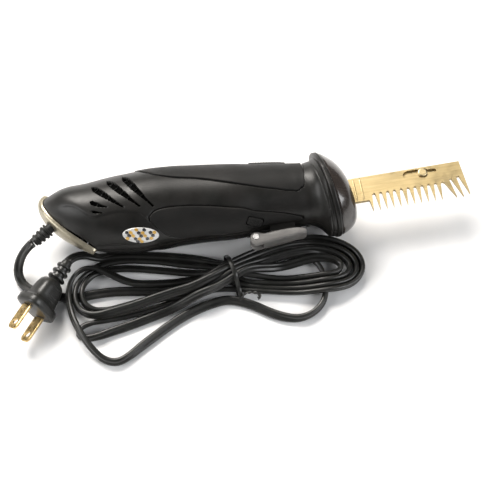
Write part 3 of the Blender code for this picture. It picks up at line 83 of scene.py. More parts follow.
RELEASE_X = -0.0428
RELEASE_ANGLE = 154.5
RELEASE_TILT = 26
RELEASE_LENGTH = 0.0092
RELEASE_HEIGHT = 0.0055
BADGE_X = -0.1065
BADGE_ANGLE = 152
BADGE_HALF_LENGTH = 0.0100
BADGE_HALF_ANGLE = 13
BADGE_TWIST = 4
TOP_PAD_EDGE = (         # (x, angle of the pad's lower edge)
    (-0.1045, 14.0), (-0.1020, 34.0), (-0.0960, 54.0), (-0.0876, 66.0), (-0.0685, 76.0), (-0.0477, 89.5),
    (-0.0283, 103.0), (-0.0209, 107.0), (-0.0146, 104.0), (-0.0120, 90.0), (-0.0108, 56.0),
)
SIDE_PAD_EDGES = (       # (x, angle of the upper edge, angle of the lower edge)
    (-0.1003, 126.0, 132.0), (-0.0980, 121.0, 141.0), (-0.0952, 118.5, 149.0), (-0.0920, 117.6, 159.0),
    (-0.0875, 117.5, 168.0), (-0.0830, 117.8, 171.0), (-0.0705, 120.0, 172.0), (-0.0560, 125.0, 172.0),
    (-0.0480, 129.0, 169.0), (-0.0420, 136.0, 166.5), (-0.0303, 144.5, 166.5), (-0.0220, 152.0, 166.5),
    (-0.0160, 160.0, 166.0),
)
SCREW_WELL_RADIUS = 0.0027
SCREW_WELL_DEPTH = 0.0138
LOCK_SLOT = ((-0.0365, 0.0150, AXIS_Z - 0.0040), (-0.0225, 0.0340, AXIS_Z + 0.0040))   # low and high corner
MEAN_RADIUS = 0.0215             # turns an angle round the grip's skin into a distance along it
SIDES = (("upper", 1), ("lower", -1))
SCREW_PLACES = ((-0.1420, 0.0205), (-0.1385, 0.0040), (-0.0750, -0.0063), (-0.0122, -0.0112))
PLUG_FACE = Vector((-0.1719, -0.0337, 0.0130))
PLUG_HEADING = 49
PLUG_ROLL = 58

# ---------------------------------------------------------------- the picture's camera
AZIMUTH = -10.6
ELEVATION = 65.0
CAMERA_DISTANCE = 1.10
AIM_POINT = Vector((0.0015, 0.0, 0.0245))
AIM_OFFSET = (0.0441, 0.0299)    # how far the picture's middle lies left of and below the aim point
VIEW_HALF_WIDTH = 0.1412         # half of what the picture shows at the aim point's distance


def new_object(name, data):
    """A new object in the scene."""
    item = bpy.data.objects.new(name, data)
    bpy.context.scene.collection.objects.link(item)
    return item


def make_camera():
    """A camera at the picture's angle, turned about the aim point."""
    a, e = math.radians(AZIMUTH), math.radians(ELEVATION)
    back = Vector((math.sin(a) * math.cos(e), -math.cos(a) * math.cos(e), math.sin(e)))
    right = Vector((math.cos(a), math.sin(a), 0.0))
    up = back.cross(right)
    camera = bpy.data.cameras.new("camera")
    camera.sensor_width = 36.0
    camera.lens = 18.0 * CAMERA_DISTANCE / VIEW_HALF_WIDTH
    camera.clip_start, camera.clip_end = 0.01, 20.0
    item = new_object("camera", camera)
    item.location = AIM_POINT - right * AIM_OFFSET[0] - up * AIM_OFFSET[1] + back * CAMERA_DISTANCE
    item.rotation_mode = "QUATERNION"
    item.rotation_quaternion = (-back).to_track_quat("-Z", "Y")
    bpy.context.scene.camera = item


# ---------------------------------------------------------------- materials
def opaque(colour):
    return (*colour, 1.0)


class Surface:
    """A material in the making: a Principled shader, object coordinates and small helpers."""

    def __init__(self, name, colour, roughness, metallic=0.0, **sockets):
        self.material = bpy.data.materials.new(name)
        self.material.use_nodes = True
        self.tree = self.material.node_tree
        self.shader = self.tree.nodes["Principled BSDF"]
        self.shader.inputs["Base Color"].default_value = opaque(colour)
        self.shader.inputs["Roughness"].default_value = roughness
        self.shader.inputs["Metallic"].default_value = metallic
        for socket, value in sockets.items():
            self.shader.inputs[socket.replace("_", " ")].default_value = value
        self.place = self.tree.nodes.new("ShaderNodeTexCoord").outputs["Object"]
        self.height = None

    def node(self, kind, **values):
        made = self.tree.nodes.new(kind)
        for key, value in values.items():
            setattr(made, key, value)
        return made

    def link(self, source, target):
        self.tree.links.new(source, target)

    def stretched(self, scale):
        mapping = self.node("ShaderNodeMapping")
        mapping.inputs["Scale"].default_value = scale
        self.link(self.place, mapping.inputs["Vector"])
        return mapping.outputs["Vector"]

    def noise(self, scale, detail=3.0, rough=0.55, stretch=(1, 1, 1), distortion=0.0):
        texture = self.node("ShaderNodeTexNoise")
        texture.inputs["Scale"].default_value = scale
        texture.inputs["Detail"].default_value = detail
        texture.inputs["Roughness"].default_value = rough
        texture.inputs["Distortion"].default_value = distortion
        self.link(self.stretched(stretch), texture.inputs["Vector"])
        return texture.outputs["Fac"]

    def cells(self, scale):
        texture = self.node("ShaderNodeTexVoronoi")
        texture.inputs["Scale"].default_value = scale
        self.link(self.stretched((1, 1, 1)), texture.inputs["Vector"])
        return texture.outputs["Distance"]

    def waves(self, scale, direction, distortion):
        texture = self.node("ShaderNodeTexWave", bands_direction=direction)
        texture.inputs["Scale"].default_value = scale
        texture.inputs["Distortion"].default_value = distortion
        self.link(self.place, texture.inputs["Vector"])
        return texture.outputs["Fac"]

    def ramp(self, value, low, high, start=0.3, end=0.7):
        fit = self.node("ShaderNodeMapRange")
        fit.inputs["From Min"].default_value = start
        fit.inputs["From Max"].default_value = end
        fit.inputs["To Min"].default_value = low
        fit.inputs["To Max"].default_value = high
        self.link(value, fit.inputs["Value"])
        return fit.outputs["Result"]

    def mix(self, value, first, second):
        blend = self.node("ShaderNodeMix", data_type="RGBA")
        self.link(value, blend.inputs["Factor"])
        for socket, colour in ((6, first), (7, second)):
            if isinstance(colour, tuple):
                blend.inputs[socket].default_value = opaque(colour)
            else:
                self.link(colour, blend.inputs[socket])
        return blend.outputs[2]

    def colour_by(self, value, first, second, start=0.35, end=0.65):
        mixed = self.mix(self.ramp(value, 0.0, 1.0, start, end), first, second)
        self.link(mixed, self.shader.inputs["Base Color"])
        return mixed

    def roughness_by(self, value, low, high, start=0.3, end=0.7):
        self.link(self.ramp(value, low, high, start, end), self.shader.inputs["Roughness"])

    def bump_by(self, value, depth, strength=1.0):
        bump = self.node("ShaderNodeBump")
        bump.inputs["Strength"].default_value = strength
        bump.inputs["Distance"].default_value = depth
        self.link(value, bump.inputs["Height"])
        if self.height is not None:
            self.link(self.height, bump.inputs["Normal"])
        self.height = bump.outputs["Normal"]
        self.link(self.height, self.shader.inputs["Normal"])


def worn_edges(surface, base, wear):
    """Rubbed edges: convex edges turn lighter where a slow noise lets them."""
    point = surface.node("ShaderNodeNewGeometry").outputs["Pointiness"]
    edge = surface.ramp(point, 0.0, 0.5, 0.52, 0.60)
    patchy = surface.node("ShaderNodeMath", operation="MULTIPLY")
    surface.link(edge, patchy.inputs[0])
    surface.link(surface.noise(260.0, 4.0), patchy.inputs[1])
    mixed = surface.mix(patchy.outputs[0], base, wear)
    surface.link(mixed, surface.shader.inputs["Base Color"])


def black_plastic():
    """Moulded casing: a fine spark-eroded grain, slight unevenness and polished spots."""
    s = Surface("casing_black", (0.008, 0.008, 0.007), 0.40, Specular_IOR_Level=0.36)
    tint = s.colour_by(s.noise(70.0, 4.0), (0.006, 0.006, 0.005), (0.011, 0.010, 0.009))
    worn_edges(s, tint, (0.040, 0.037, 0.033))
    s.roughness_by(s.noise(95.0, 5.0, 0.65), 0.33, 0.46)
    s.bump_by(s.noise(2600.0, 2.0), 0.000035, 0.55)
    s.bump_by(s.noise(150.0, 2.0), 0.00006, 0.30)
    return s.material


def soft_grip():
    """Rubber overmould: nearly black, matt, with a pebbled surface and dusty patches."""
    s = Surface("grip_rubber", (0.006, 0.006, 0.006), 0.58, Specular_IOR_Level=0.24, Sheen_Weight=0.03,
                Sheen_Roughness=0.5)
    s.colour_by(s.noise(60.0, 5.0, 0.6), (0.005, 0.005, 0.0045), (0.010, 0.009, 0.008))
    s.roughness_by(s.noise(120.0, 5.0, 0.6), 0.50, 0.66)
    s.bump_by(s.cells(1500.0), 0.00005, 0.5)
    s.bump_by(s.noise(420.0, 3.0), 0.00004, 0.35)
    return s.material


def champagne_trim():
    """Satin champagne plate at the tail."""
    s = Surface("trim_champagne", (0.36, 0.32, 0.24), 0.34, 0.75)
    tint = s.colour_by(s.noise(160.0, 4.0), (0.29, 0.26, 0.19), (0.40, 0.36, 0.27))
    worn_edges(s, tint, (0.56, 0.52, 0.43))
    s.roughness_by(s.noise(400.0, 5.0, 0.7, (1, 6, 1)), 0.24, 0.46)
    s.bump_by(s.noise(1800.0, 2.0, 0.5, (1, 8, 1)), 0.00002, 0.4)
    return s.material


def nose_gloss():
    """Smoke-grey glossy cap with faint moulding swirls and fine scratches."""
    s = Surface("nose_smoke", (0.026, 0.020, 0.017), 0.20, Coat_Weight=0.5, Coat_Roughness=0.12,
                Specular_IOR_Level=0.5)
    s.colour_by(s.noise(55.0, 4.0, 0.6, distortion=0.6), (0.018, 0.014, 0.012), (0.038, 0.029, 0.024))
    s.roughness_by(s.noise(230.0, 6.0, 0.75, (1, 5, 1)), 0.14, 0.32)
    s.bump_by(s.noise(900.0, 3.0), 0.00001, 0.35)
    return s.material


def grey_plastic():
    """Trigger and other moulded grey pieces."""
    s = Surface("plastic_grey", (0.115, 0.110, 0.104), 0.42)
    tint = s.colour_by(s.noise(120.0, 4.0), (0.090, 0.086, 0.081), (0.140, 0.134, 0.127))
    worn_edges(s, tint, (0.30, 0.29, 0.27))
    s.roughness_by(s.noise(260.0, 5.0, 0.65), 0.34, 0.52)
    s.bump_by(s.noise(2200.0, 2.0), 0.00003, 0.5)
    return s.material


def blade_steel():
    """Golden titanium-coated comb plates: ground lengthwise, with handling smudges and rubbed edges."""
    s = Surface("blade_gold", (0.52, 0.42, 0.23), 0.38, 1.0)
    grind = s.noise(900.0, 4.0, 0.7, (0.05, 1, 1))
    tint = s.colour_by(grind, (0.42, 0.32, 0.155), (0.58, 0.46, 0.25), 0.30, 0.70)
    worn_edges(s, tint, (0.86, 0.77, 0.56))
    s.roughness_by(s.noise(140.0, 6.0, 0.7), 0.32, 0.54)
    s.bump_by(s.noise(2400.0, 3.0, 0.7, (0.04, 1, 1)), 0.000016, 0.6)
    s.bump_by(s.noise(220.0, 3.0), 0.00003, 0.25)
    return s.material


def brushed_metal(name, dark, light, roughness, stretch=(1, 1, 1)):
    """Bare metal with a directional finish and light stains."""
    s = Surface(name, light, roughness, 1.0)
    s.colour_by(s.noise(500.0, 5.0, 0.65, stretch), dark, light)
    s.roughness_by(s.noise(300.0, 6.0, 0.7), roughness - 0.08, roughness + 0.16)
    s.bump_by(s.noise(2600.0, 2.0, 0.6, stretch), 0.000015, 0.5)
    return s.material


def laminated_steel():
    """Stacked stampings: fine dark lines across the motor's axis."""
    s = Surface("steel_laminated", (0.35, 0.35, 0.36), 0.42, 1.0)
    layers = s.waves(420.0, "X", 0.15)
    s.colour_by(layers, (0.10, 0.10, 0.11), (0.44, 0.44, 0.45), 0.10, 0.45)
    s.roughness_by(s.noise(300.0, 5.0), 0.34, 0.55)
    s.bump_by(layers, 0.00005, 0.8)
    return s.material


def copper_winding():
    """Enamelled wire laid side by side, with painted shade in the valleys between the turns and lighter painted
    crests.
    """
    s = Surface("copper_enamel", (0.50, 0.17, 0.06), 0.30, 0.9, Coat_Weight=0.4, Coat_Roughness=0.15)
    wires = s.waves(330.0, "Y", 0.5)
    # painted shade and highlight: the wave's low parts, the valleys between the wires, are painted dark and its
    # crests light; the same wave drives the bump
    s.colour_by(wires, (0.20, 0.055, 0.018), (0.66, 0.26, 0.10), 0.10, 0.55)
    s.roughness_by(s.noise(240.0, 4.0), 0.22, 0.40)
    s.bump_by(wires, 0.00012, 0.9)
    return s.material


def nylon():
    """Unfilled gear nylon: creamy, waxy, faintly mottled."""
    s = Surface("nylon_cream", (0.66, 0.62, 0.50), 0.42, Subsurface_Weight=0.08)
    s.shader.inputs["Subsurface Scale"].default_value = 0.002
    s.colour_by(s.noise(180.0, 4.0), (0.58, 0.54, 0.43), (0.74, 0.70, 0.58))
    s.roughness_by(s.noise(220.0, 4.0), 0.34, 0.52)
    s.bump_by(s.noise(1600.0, 2.0), 0.00003, 0.4)
    return s.material


def carbon():
    """Pressed carbon of the motor's brushes."""
    s = Surface("carbon_black", (0.02, 0.02, 0.021), 0.58, 0.2)
    s.colour_by(s.noise(900.0, 5.0), (0.012, 0.012, 0.012), (0.042, 0.042, 0.045))
    s.roughness_by(s.noise(700.0, 4.0), 0.45, 0.72)
    s.bump_by(s.noise(2200.0, 3.0), 0.00004, 0.6)
    return s.material


def badge_coat(name, dark, light):
    """Printed and doming-resin coated badge: glossy, with a fine orange peel."""
    s = Surface(name, light, 0.22, Coat_Weight=0.6, Coat_Roughness=0.08)
    s.colour_by(s.noise(240.0, 4.0), dark, light)
    s.roughness_by(s.noise(360.0, 4.0), 0.16, 0.34)
    s.bump_by(s.noise(700.0, 3.0), 0.00002, 0.4)
    return s.material


def cord_black():
    """Soft vinyl: a slight gloss, drawing lines and dull rubbed places."""
    s = Surface("vinyl_black", (0.012, 0.012, 0.011), 0.34, Specular_IOR_Level=0.5)
    s.colour_by(s.noise(130.0, 5.0, 0.65), (0.010, 0.010, 0.009), (0.019, 0.019, 0.017))
    s.roughness_by(s.noise(170.0, 5.0, 0.65), 0.28, 0.46)
    s.bump_by(s.noise(1300.0, 3.0, 0.6), 0.00004, 0.45)
    s.bump_by(s.noise(240.0, 2.0), 0.00008, 0.30)
    return s.material


def slot_floor_painted_shade():
    """Painted shade: the dull black of the casing's unlit inside, laid on the floors of the shallow air slots in
    place of their shade, with a little dust.
    """
    s = Surface("slot_floor_painted_shade", (0.001, 0.001, 0.001), 0.90, Specular_IOR_Level=0.05)
    s.colour_by(s.noise(900.0, 4.0), (0.0006, 0.0006, 0.0006), (0.004, 0.004, 0.0035), 0.45, 0.8)
    s.bump_by(s.noise(1500.0, 3.0), 0.00004, 0.5)
    return s.material


def floor_paper():
    """Pale matt paper."""
    s = Surface("floor_pale", (0.86, 0.86, 0.86), 0.85)
    s.colour_by(s.noise(40.0, 3.0), (0.85, 0.85, 0.85), (0.88, 0.88, 0.88))
    s.bump_by(s.noise(900.0, 2.0), 0.00003, 0.2)
    return s.material


FINISHES = {
    "black_plastic": black_plastic(),
    "soft_grip": soft_grip(),
    "champagne_trim": champagne_trim(),
    "nose_gloss": nose_gloss(),
    "grey_plastic": grey_plastic(),
    "blade_steel": blade_steel(),
    "steel": brushed_metal("steel_bright", (0.34, 0.34, 0.35), (0.62, 0.61, 0.60), 0.30),
    "laminated_steel": laminated_steel(),
    "copper": copper_winding(),
    "nylon": nylon(),
    "carbon": carbon(),
    "badge_white": badge_coat("badge_pale", (0.66, 0.65, 0.62), (0.80, 0.79, 0.77)),
    "cord_black": cord_black(),
    "brass": brushed_metal("brass_pale", (0.56, 0.38, 0.15), (0.80, 0.60, 0.30), 0.27, (1, 1, 0.2)),
}


# ---------------------------------------------------------------- mesh helpers
def add_piece(name, vertices, faces, finish, body, nodes=(), smooth_angle=40.0):
    """A mesh piece with its finish, riding on a body and standing for the named CAD nodes."""
    mesh = bpy.data.meshes.new(name)
    mesh.from_pydata([tuple(v) for v in vertices], [], [tuple(f) for f in faces])
    shape = bmesh.new()
    shape.from_mesh(mesh)
    bmesh.ops.remove_doubles(shape, verts=shape.verts, dist=0.0000005)
    bmesh.ops.recalc_face_normals(shape, faces=shape.faces)
    shape.to_mesh(mesh)
    shape.free()
    mesh.shade_smooth()
    if smooth_angle < 180:
        mesh.set_sharp_from_angle(angle=math.radians(smooth_angle))
    mesh.materials.append(FINISHES[finish])
    item = new_object(name, mesh)
    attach(item, body)
    if nodes:
        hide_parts(*nodes)
    return item


def grid_faces(rows, columns, start=0, close_rows=False, close_columns=False):
    """Quads between rows of points, each row holding columns points."""
    faces = []
    for i in range(rows if close_rows else rows - 1):
        for j in range(columns if close_columns else columns - 1):
            a, b = start + i * columns, start + (i + 1) % rows * columns
            k = (j + 1) % columns
            faces.append((a + j, a + k, b + k, b + j))
    return faces


def slab(outer, inner):
    """Vertices and faces of a closed shell between two equal grids of points."""
    rows, columns = outer.shape[:2]
    count = rows * columns
    vertices = np.vstack([outer.reshape(-1, 3), inner.reshape(-1, 3)])
    faces = grid_faces(rows, columns)
    faces += [f[::-1] for f in grid_faces(rows, columns, count)]
    rim = [j for j in range(columns)]
    rim += [i * columns + columns - 1 for i in range(1, rows)]
    rim += [(rows - 1) * columns + j for j in range(columns - 2, -1, -1)]
    rim += [i * columns for i in range(rows - 2, 0, -1)]
    for a, b in zip(rim, rim[1:] + rim[:1]):
        faces.append((b, a, count + a, count + b))
    return vertices, faces


def tube_of(rings, closed=False):
    """Vertices and faces of a tube through rings of points, with capped ends unless it is closed."""
    count, sides = len(rings), len(rings[0])
    vertices = [p for ring in rings for p in ring]
    faces = grid_faces(count, sides, 0, closed, True)
    if not closed:
        faces.append(tuple(range(sides))[::-1])
        faces.append(tuple((count - 1) * sides + j for j in range(sides)))
    return vertices, faces


def carve(item, tool_vertices, tool_faces):
    """Cuts a closed shape out of a piece and applies the cut."""
    mesh = bpy.data.meshes.new("tool")
    mesh.from_pydata([tuple(v) for v in tool_vertices], [], tool_faces)
    shape = bmesh.new()
    shape.from_mesh(mesh)
    bmesh.ops.recalc_face_normals(shape, faces=shape.faces)
    shape.to_mesh(mesh)
    shape.free()
    tool = new_object("tool", mesh)
    cut = item.modifiers.new("cut", "BOOLEAN")
    cut.operation = "DIFFERENCE"
    cut.solver = "EXACT"
    cut.object = tool
    graph = bpy.context.evaluated_depsgraph_get()
    result = bpy.data.meshes.new_from_object(item.evaluated_get(graph))
    item.modifiers.clear()
    item.data = result
    result.shade_smooth()
    result.set_sharp_from_angle(angle=math.radians(40))
    bpy.data.objects.remove(tool)


def full_turn(count):
    """Equal angles once round."""
    return [2 * math.pi * i / count for i in range(count)]


def squared(turn, squareness):
    """A point of a round outline pushed towards a square; squareness 1 leaves it round."""
    c, s = math.cos(turn), math.sin(turn)
    return math.copysign(abs(c) ** squareness, c), math.copysign(abs(s) ** squareness, s)


def unit_rows(vectors):
    return vectors / np.linalg.norm(vectors, axis=1)[:, None]


def shoulder(border, radius):
    """A quarter round that rises from 0 at a border to 1 a radius inside it."""
    t = np.clip(border / radius, 0.0, 1.0)
    return np.sqrt(np.clip(1 - (1 - t) ** 2, 0, 1))


BLOCK_FACES = [(0, 1, 2, 3), (4, 7, 6, 5), (0, 4, 5, 1), (1, 5, 6, 2), (2, 6, 7, 3), (3, 7, 4, 0)]


def block_points(low, high):
    return [(x, y, z) for z in (low[2], high[2])
            for x, y in ((low[0], low[1]), (high[0], low[1]), (high[0], high[1]), (low[0], high[1]))]


def carve_block(item, low, high):
    carve(item, block_points(low, high), BLOCK_FACES)


def carve_screw_well(item, x, y):
    """A round well from just below the underside up to a screw's head."""
    carve(item, *rod_points((x, y, -0.001), (0, 0, 1), SCREW_WELL_DEPTH + 0.001, SCREW_WELL_RADIUS))


def smooth_value(points, x):
    """Reads a smooth curve through points, each (x, value, ...), at an array of places. Level past its ends."""
    table = np.array(points, float)
    xs, values = table[:, 0], table[:, 1:]
    x = np.clip(np.asarray(x, float), xs[0], xs[-1])
    slopes = np.gradient(values, xs, axis=0)
    i = np.clip(np.searchsorted(xs, x) - 1, 0, len(xs) - 2)
    step = (xs[i + 1] - xs[i])[..., None]
    t = ((x - xs[i]) / (xs[i + 1] - xs[i]))[..., None]
    return ((2 * t**3 - 3 * t**2 + 1) * values[i] + (t**3 - 2 * t**2 + t) * step * slopes[i]
            + (3 * t**2 - 2 * t**3) * values[i + 1] + (t**3 - t**2) * step * slopes[i + 1])


def smooth_step(value, start, end):
    t = np.clip((value - start) / (end - start), 0.0, 1.0)
    return t * t * (3 - 2 * t)


# ---------------------------------------------------------------- the handle's skin
def guard_x(y):
    return GUARD_BACK_X - GUARD_RAKE * (y - GUARD_CENTRE_Y)


def tail_x(y):
    return smooth_value(TAIL_CUT, y)[..., 0]


def skin(x, angle, lift=0.0):
    """Points of the handle's skin, lifted off it; x, angle and lift may be arrays. Angle 0 is the spine."""
    x, angle, lift = np.broadcast_arrays(np.asarray(x, float), np.asarray(angle, float),
                                         np.asarray(lift, float))
    turn = np.radians(angle)
    section = smooth_value(HANDLE_SECTIONS, x)
    y = section[..., 0] + (section[..., 1] + lift) * np.cos(turn)
    rounding = np.clip((x - tail_x(y)) / SHOULDER_LENGTH, 0.0, 1.0)
    swell = np.sqrt(1 - (1 - rounding) ** 2)
    half = TAIL_HALF_WIDTH + (section[..., 2] - TAIL_HALF_WIDTH) * swell
    return np.stack([x, y, AXIS_Z + (half + lift) * np.sin(turn)], axis=-1)


def handle_x(share, angle):
    """The real x of a skin point with share 0 on the tail cut and share 1 at the guard."""
    x = tail_x(np.asarray(0.010)) * (1 - share) + guard_x(0.0) * share + 0 * angle
    for _ in range(14):
        y = skin(x, angle)[..., 1]
        x = tail_x(y) * (1 - share) + (guard_x(y) - GAP) * share
    return x


# ---------------------------------------------------------------- the cord
CORD_HALF_WIDTH = 0.00275
CORD_HALF_THICKNESS = 0.0014
CORD_STEP = 0.0018
LEAD_ROUTE = (
    (-0.1664, 0.0042, 0.0207), (-0.1696, 0.0031, 0.0186), (-0.1727, 0.0019, 0.0148),
    (-0.1754, 0.0001, 0.0103),
    (-0.1773, -0.0027, 0.0062), (-0.1778, -0.0066, 0.0034), (-0.1764, -0.0111, 0.0022),
    (-0.1732, -0.0150, 0.00205), (-0.1688, -0.0178, 0.00205), (-0.1637, -0.0199, 0.00205),
    (-0.1580, -0.0222, 0.00205), (-0.1525, -0.0248, 0.00205),
)
END_ROUTE = (
    (-0.1325, -0.0033, 0.0033), (-0.1352, -0.0026, 0.0046), (-0.1385, -0.0022, 0.0068),
    (-0.1420, -0.0031, 0.0094), (-0.1459, -0.0048, 0.0119), (-0.1491, -0.0075, 0.0130),
)
# The hank's runs in millimetres: (level, share of standing on edge, places).
# A higher level lies on a lower one.
HANK_RUNS = (
    # lead-in, lowest at the left end, then over the crossing into the outer right loop
    (-1, 0.3, ((-146, -25.6), (-140, -25.2), (-129, -25.4), (-118, -26.8), (-106, -29.0), (-94, -31.2),
               (-82, -31.6))),
    (3, 0.8, ((-70, -28.2), (-60, -24.2), (-51, -20.6))),
    (1, 0.4, ((-41, -17.6), (-30, -15.0), (-19, -13.4), (-8, -14.4))),
    (0, 0.9, ((1.2, -17.2), (8.4, -21.8), (13.2, -27.6), (15.0, -34.0), (13.4, -40.4), (8.2, -45.2),
              (0.5, -47.8))),
    (0, 0.8, ((-9, -48.2), (-20, -46.6), (-31, -44.2), (-41, -41.6))),
    (0, 0.8, ((-51, -39.0), (-60, -36.6), (-70, -35.2))),
    # the narrow lower left loop, then over into the inner right loop
    (-1, 0.5, ((-80, -35.8), (-93, -38.0), (-107, -40.2), (-121, -41.6), (-135, -42.2))),
    (0, 0.9, ((-143.6, -42.8), (-148.8, -44.8), (-150.2, -48.0), (-147.2, -50.8), (-141.0, -51.2))),
    (1, 0.5, ((-131, -49.6), (-119, -47.4), (-107, -44.8), (-95, -42.4), (-83, -40.4))),
    (3, 0.8, ((-70, -37.2), (-60, -33.2), (-51, -29.8))),
    (0, 0.5, ((-41, -28.8), (-31, -28.2), (-20, -27.8), (-11, -27.8))),
    (0, 0.9, ((-4.2, -28.8), (0.8, -31.0), (3.0, -34.2), (1.6, -37.2), (-4.0, -38.6))),
    (0, 0.8, ((-12, -38.2), (-21, -36.8), (-31, -35.2), (-41, -33.0))),
    (1, 0.8, ((-51, -30.6), (-60, -28.6), (-69, -25.4))),
    # second left loop, just inside the first
    (0, 0.4, ((-78, -23.4), (-88, -20.6), (-98, -17.6), (-108, -14.8), (-119, -12.4), (-129, -12.2))),
    (0, 0.9, ((-136.6, -14.4), (-142.0, -19.0), (-144.6, -25.2), (-143.6, -31.4), (-139.4, -35.4),
              (-132.4, -36.8))),
    (0, 0.6, ((-122, -36.2), (-110, -35.0), (-98, -35.4), (-85, -37.4))),
    (3, 0.8, ((-70, -34.2), (-60, -30.2), (-51, -26.8))),
    (1, 0.4, ((-40, -24.4), (-30, -22.9), (-19, -22.2), (-9, -22.6))),
    (0, 0.9, ((-1.6, -24.6), (3.9, -27.8), (7.2, -32.2), (7.4, -36.8), (4.2, -40.2), (-2.0, -41.8))),
    (0, 0.8, ((-11, -41.6), (-21, -40.2), (-31, -38.4), (-41, -36.2))),
    (0, 0.8, ((-51, -33.4), (-60, -26.6), (-69, -21.4))),
    # the outer left loop: along the top, round the end and back below
    (0, 0.4, ((-78, -18.2), (-87, -15.4), (-97, -12.0), (-107, -9.4), (-117, -7.5), (-127, -7.4),
              (-135.5, -9.8))),
    (1, 0.9, ((-142.3, -14.2), (-146.8, -20.2), (-148.6, -27.0), (-147.4, -33.6), (-143.4, -38.0),
              (-137.6, -40.0))),
    (1, 0.4, ((-129, -39.8), (-118, -38.7), (-106, -37.2), (-94, -35.9), (-82, -34.8))),
    (3, 0.8, ((-70, -31.2), (-60, -27.2), (-51, -23.7))),
    (1, 0.4, ((-40, -20.8), (-29, -18.8), (-18, -17.8), (-8, -18.6))),
    (0, 0.9, ((0.0, -21.0), (6.2, -24.8), (10.4, -30.0), (11.5, -35.6), (9.6, -40.4), (4.6, -43.6),
              (-3, -45.0))),
    (0, 0.8, ((-12, -44.8), (-22, -43.2), (-32, -41.2), (-42, -39.0))),
    (0, 0.8, ((-51, -36.2), (-60, -32.2), (-70, -28.8))),
    # the wide loop round the far left, down to the lowest run
    (2, 0.4, ((-81, -26.8), (-93, -26.6), (-105, -25.9), (-115, -23.6), (-123, -19.0), (-129.6, -14.4))),
    (2, 0.8, ((-136.6, -11.0), (-143.6, -11.8), (-149.2, -16.8), (-151.8, -25.0), (-151.9, -34.6),
              (-150.2, -44.0),
              (-147.0, -52.6), (-142.6, -60.4), (-137.4, -66.2), (-131.4, -68.4), (-124.6, -66.2))),
    (0, 0.4, ((-116, -61.2), (-106, -55.6), (-96, -50.4), (-85, -46.0), (-74, -43.2))),
    (0, 0.3, ((-64, -42.4), (-57, -44.8))),
    # the stray loop: out below, up through the right hole and back under the upper arc
    (0, 0.4, ((-50, -48.6), (-42, -54.4), (-34, -58.9))),
    (-1, 0.9, ((-26, -60.9), (-18.4, -59.2), (-12.2, -54.6), (-8.9, -48.2), (-8.0, -41.2), (-8.2, -34.6),
               (-10.6, -28.6), (-15.4, -24.2))),
    (-1, 0.4, ((-23, -21.6), (-33, -20.8), (-43, -21.0))),
    (0, 0.6, ((-53, -21.2), (-63, -19.6))),
    # the way out along the top to the plug
    (0, 0.3, ((-74, -15.2), (-86, -11.2), (-97, -8.4), (-108, -6.0), (-118, -4.0), (-126, -3.2))),
)


def resample(known, step):
    """Points a step apart on a smooth curve through the known ones."""
    known = np.asarray(known, float)
    lengths = np.concatenate([[0], np.cumsum(np.linalg.norm(np.diff(known[:, :3], axis=0), axis=1))])
    table = np.column_stack([lengths, known])
    count = int(lengths[-1] / step) + 1
    return smooth_value(table, np.linspace(0, lengths[-1], count))


def blurred(values, spread):
    """A running Gaussian average along the cord."""
    reach = int(3 * spread)
    weights = np.exp(-0.5 * (np.arange(-reach, reach + 1) / spread) ** 2)
    padded = np.concatenate([np.full(reach, values[0]), values, np.full(reach, values[-1])])
    return np.convolve(padded, weights / weights.sum(), "valid")


def settle(flat, level, edge):
    """Heights of the cord's middle: every strand lies on the floor, or in a long hump on those under it."""
    half_wide = CORD_HALF_WIDTH * (1 - edge) + CORD_HALF_THICKNESS * edge
    half_high = CORD_HALF_THICKNESS * (1 - edge) + CORD_HALF_WIDTH * edge
    place = np.arange(len(flat))
    apart = np.linalg.norm(flat[:, None] - flat[None], axis=2)
    near = apart < 0.80 * (half_wide[:, None] + half_wide[None])
    near &= np.abs(place[:, None] - place[None]) > 7
    above = near & (level[:, None] > level[None] + 0.2)
    step = half_high[:, None] + half_high[None]
    floor = half_high + 0.0003
    height = floor.copy()
    for _ in range(9):
        needed = np.where(above, height[None] + step, 0.0).max(axis=1)
        wanted = np.maximum(floor, needed)
        spread = wanted.copy()
        for k in (1, 2, 3):
            spread[k:] = np.maximum(spread[k:], wanted[:-k])
            spread[:-k] = np.maximum(spread[:-k], wanted[k:])
        height = np.maximum(blurred(spread, 4.0), floor)
    return height


def cord_route():
    """The whole cord: middle line, share of standing on edge."""
    rows = [(*p, -1.0, 0.0, 1.0) for p in LEAD_ROUTE]
    for level, edge, places in HANK_RUNS:
        rows += [(x / 1000, y / 1000, 0.0, level, edge, 0.0) for x, y in places]
    rows += [(*p, 0.0, 0.1, 1.0) for p in END_ROUTE]
    flat = np.array([(x, y, 0.0, z, level, edge, fixed) for x, y, z, level, edge, fixed in rows])
    dense = resample(flat, CORD_STEP)
    level = dense[:, 4]
    edge = np.clip(blurred(dense[:, 5], 3.0), 0.0, 1.0)
    fixed = smooth_step(dense[:, 6], 0.0, 1.0)
    height = settle(dense[:, :2], level, edge)
    middle = np.column_stack([dense[:, 0], dense[:, 1], height * (1 - fixed) + dense[:, 3] * fixed])
    for axis in range(3):
        middle[2:-2, axis] = blurred(middle[:, axis], 1.0)[2:-2]
    return middle, edge


def sweep(middle, turn, outline):
    """Rings of an outline (across, through) carried along a line; turn stands its wide side up."""
    middle = np.asarray(middle, float)
    tangent = unit_rows(np.gradient(middle, axis=0))
    level = unit_rows(np.cross((0.0, 0.0, 1.0), tangent))
    upward = np.cross(tangent, level)
    turn = np.asarray(turn, float)[:, None]
    wide = level * np.cos(turn) + upward * np.sin(turn)
    thick = upward * np.cos(turn) - level * np.sin(turn)
    across = np.array([p[0] for p in outline])[None, :, None]
    through = np.array([p[1] for p in outline])[None, :, None]
    return middle[:, None] + wide[:, None] * across + thick[:, None] * through


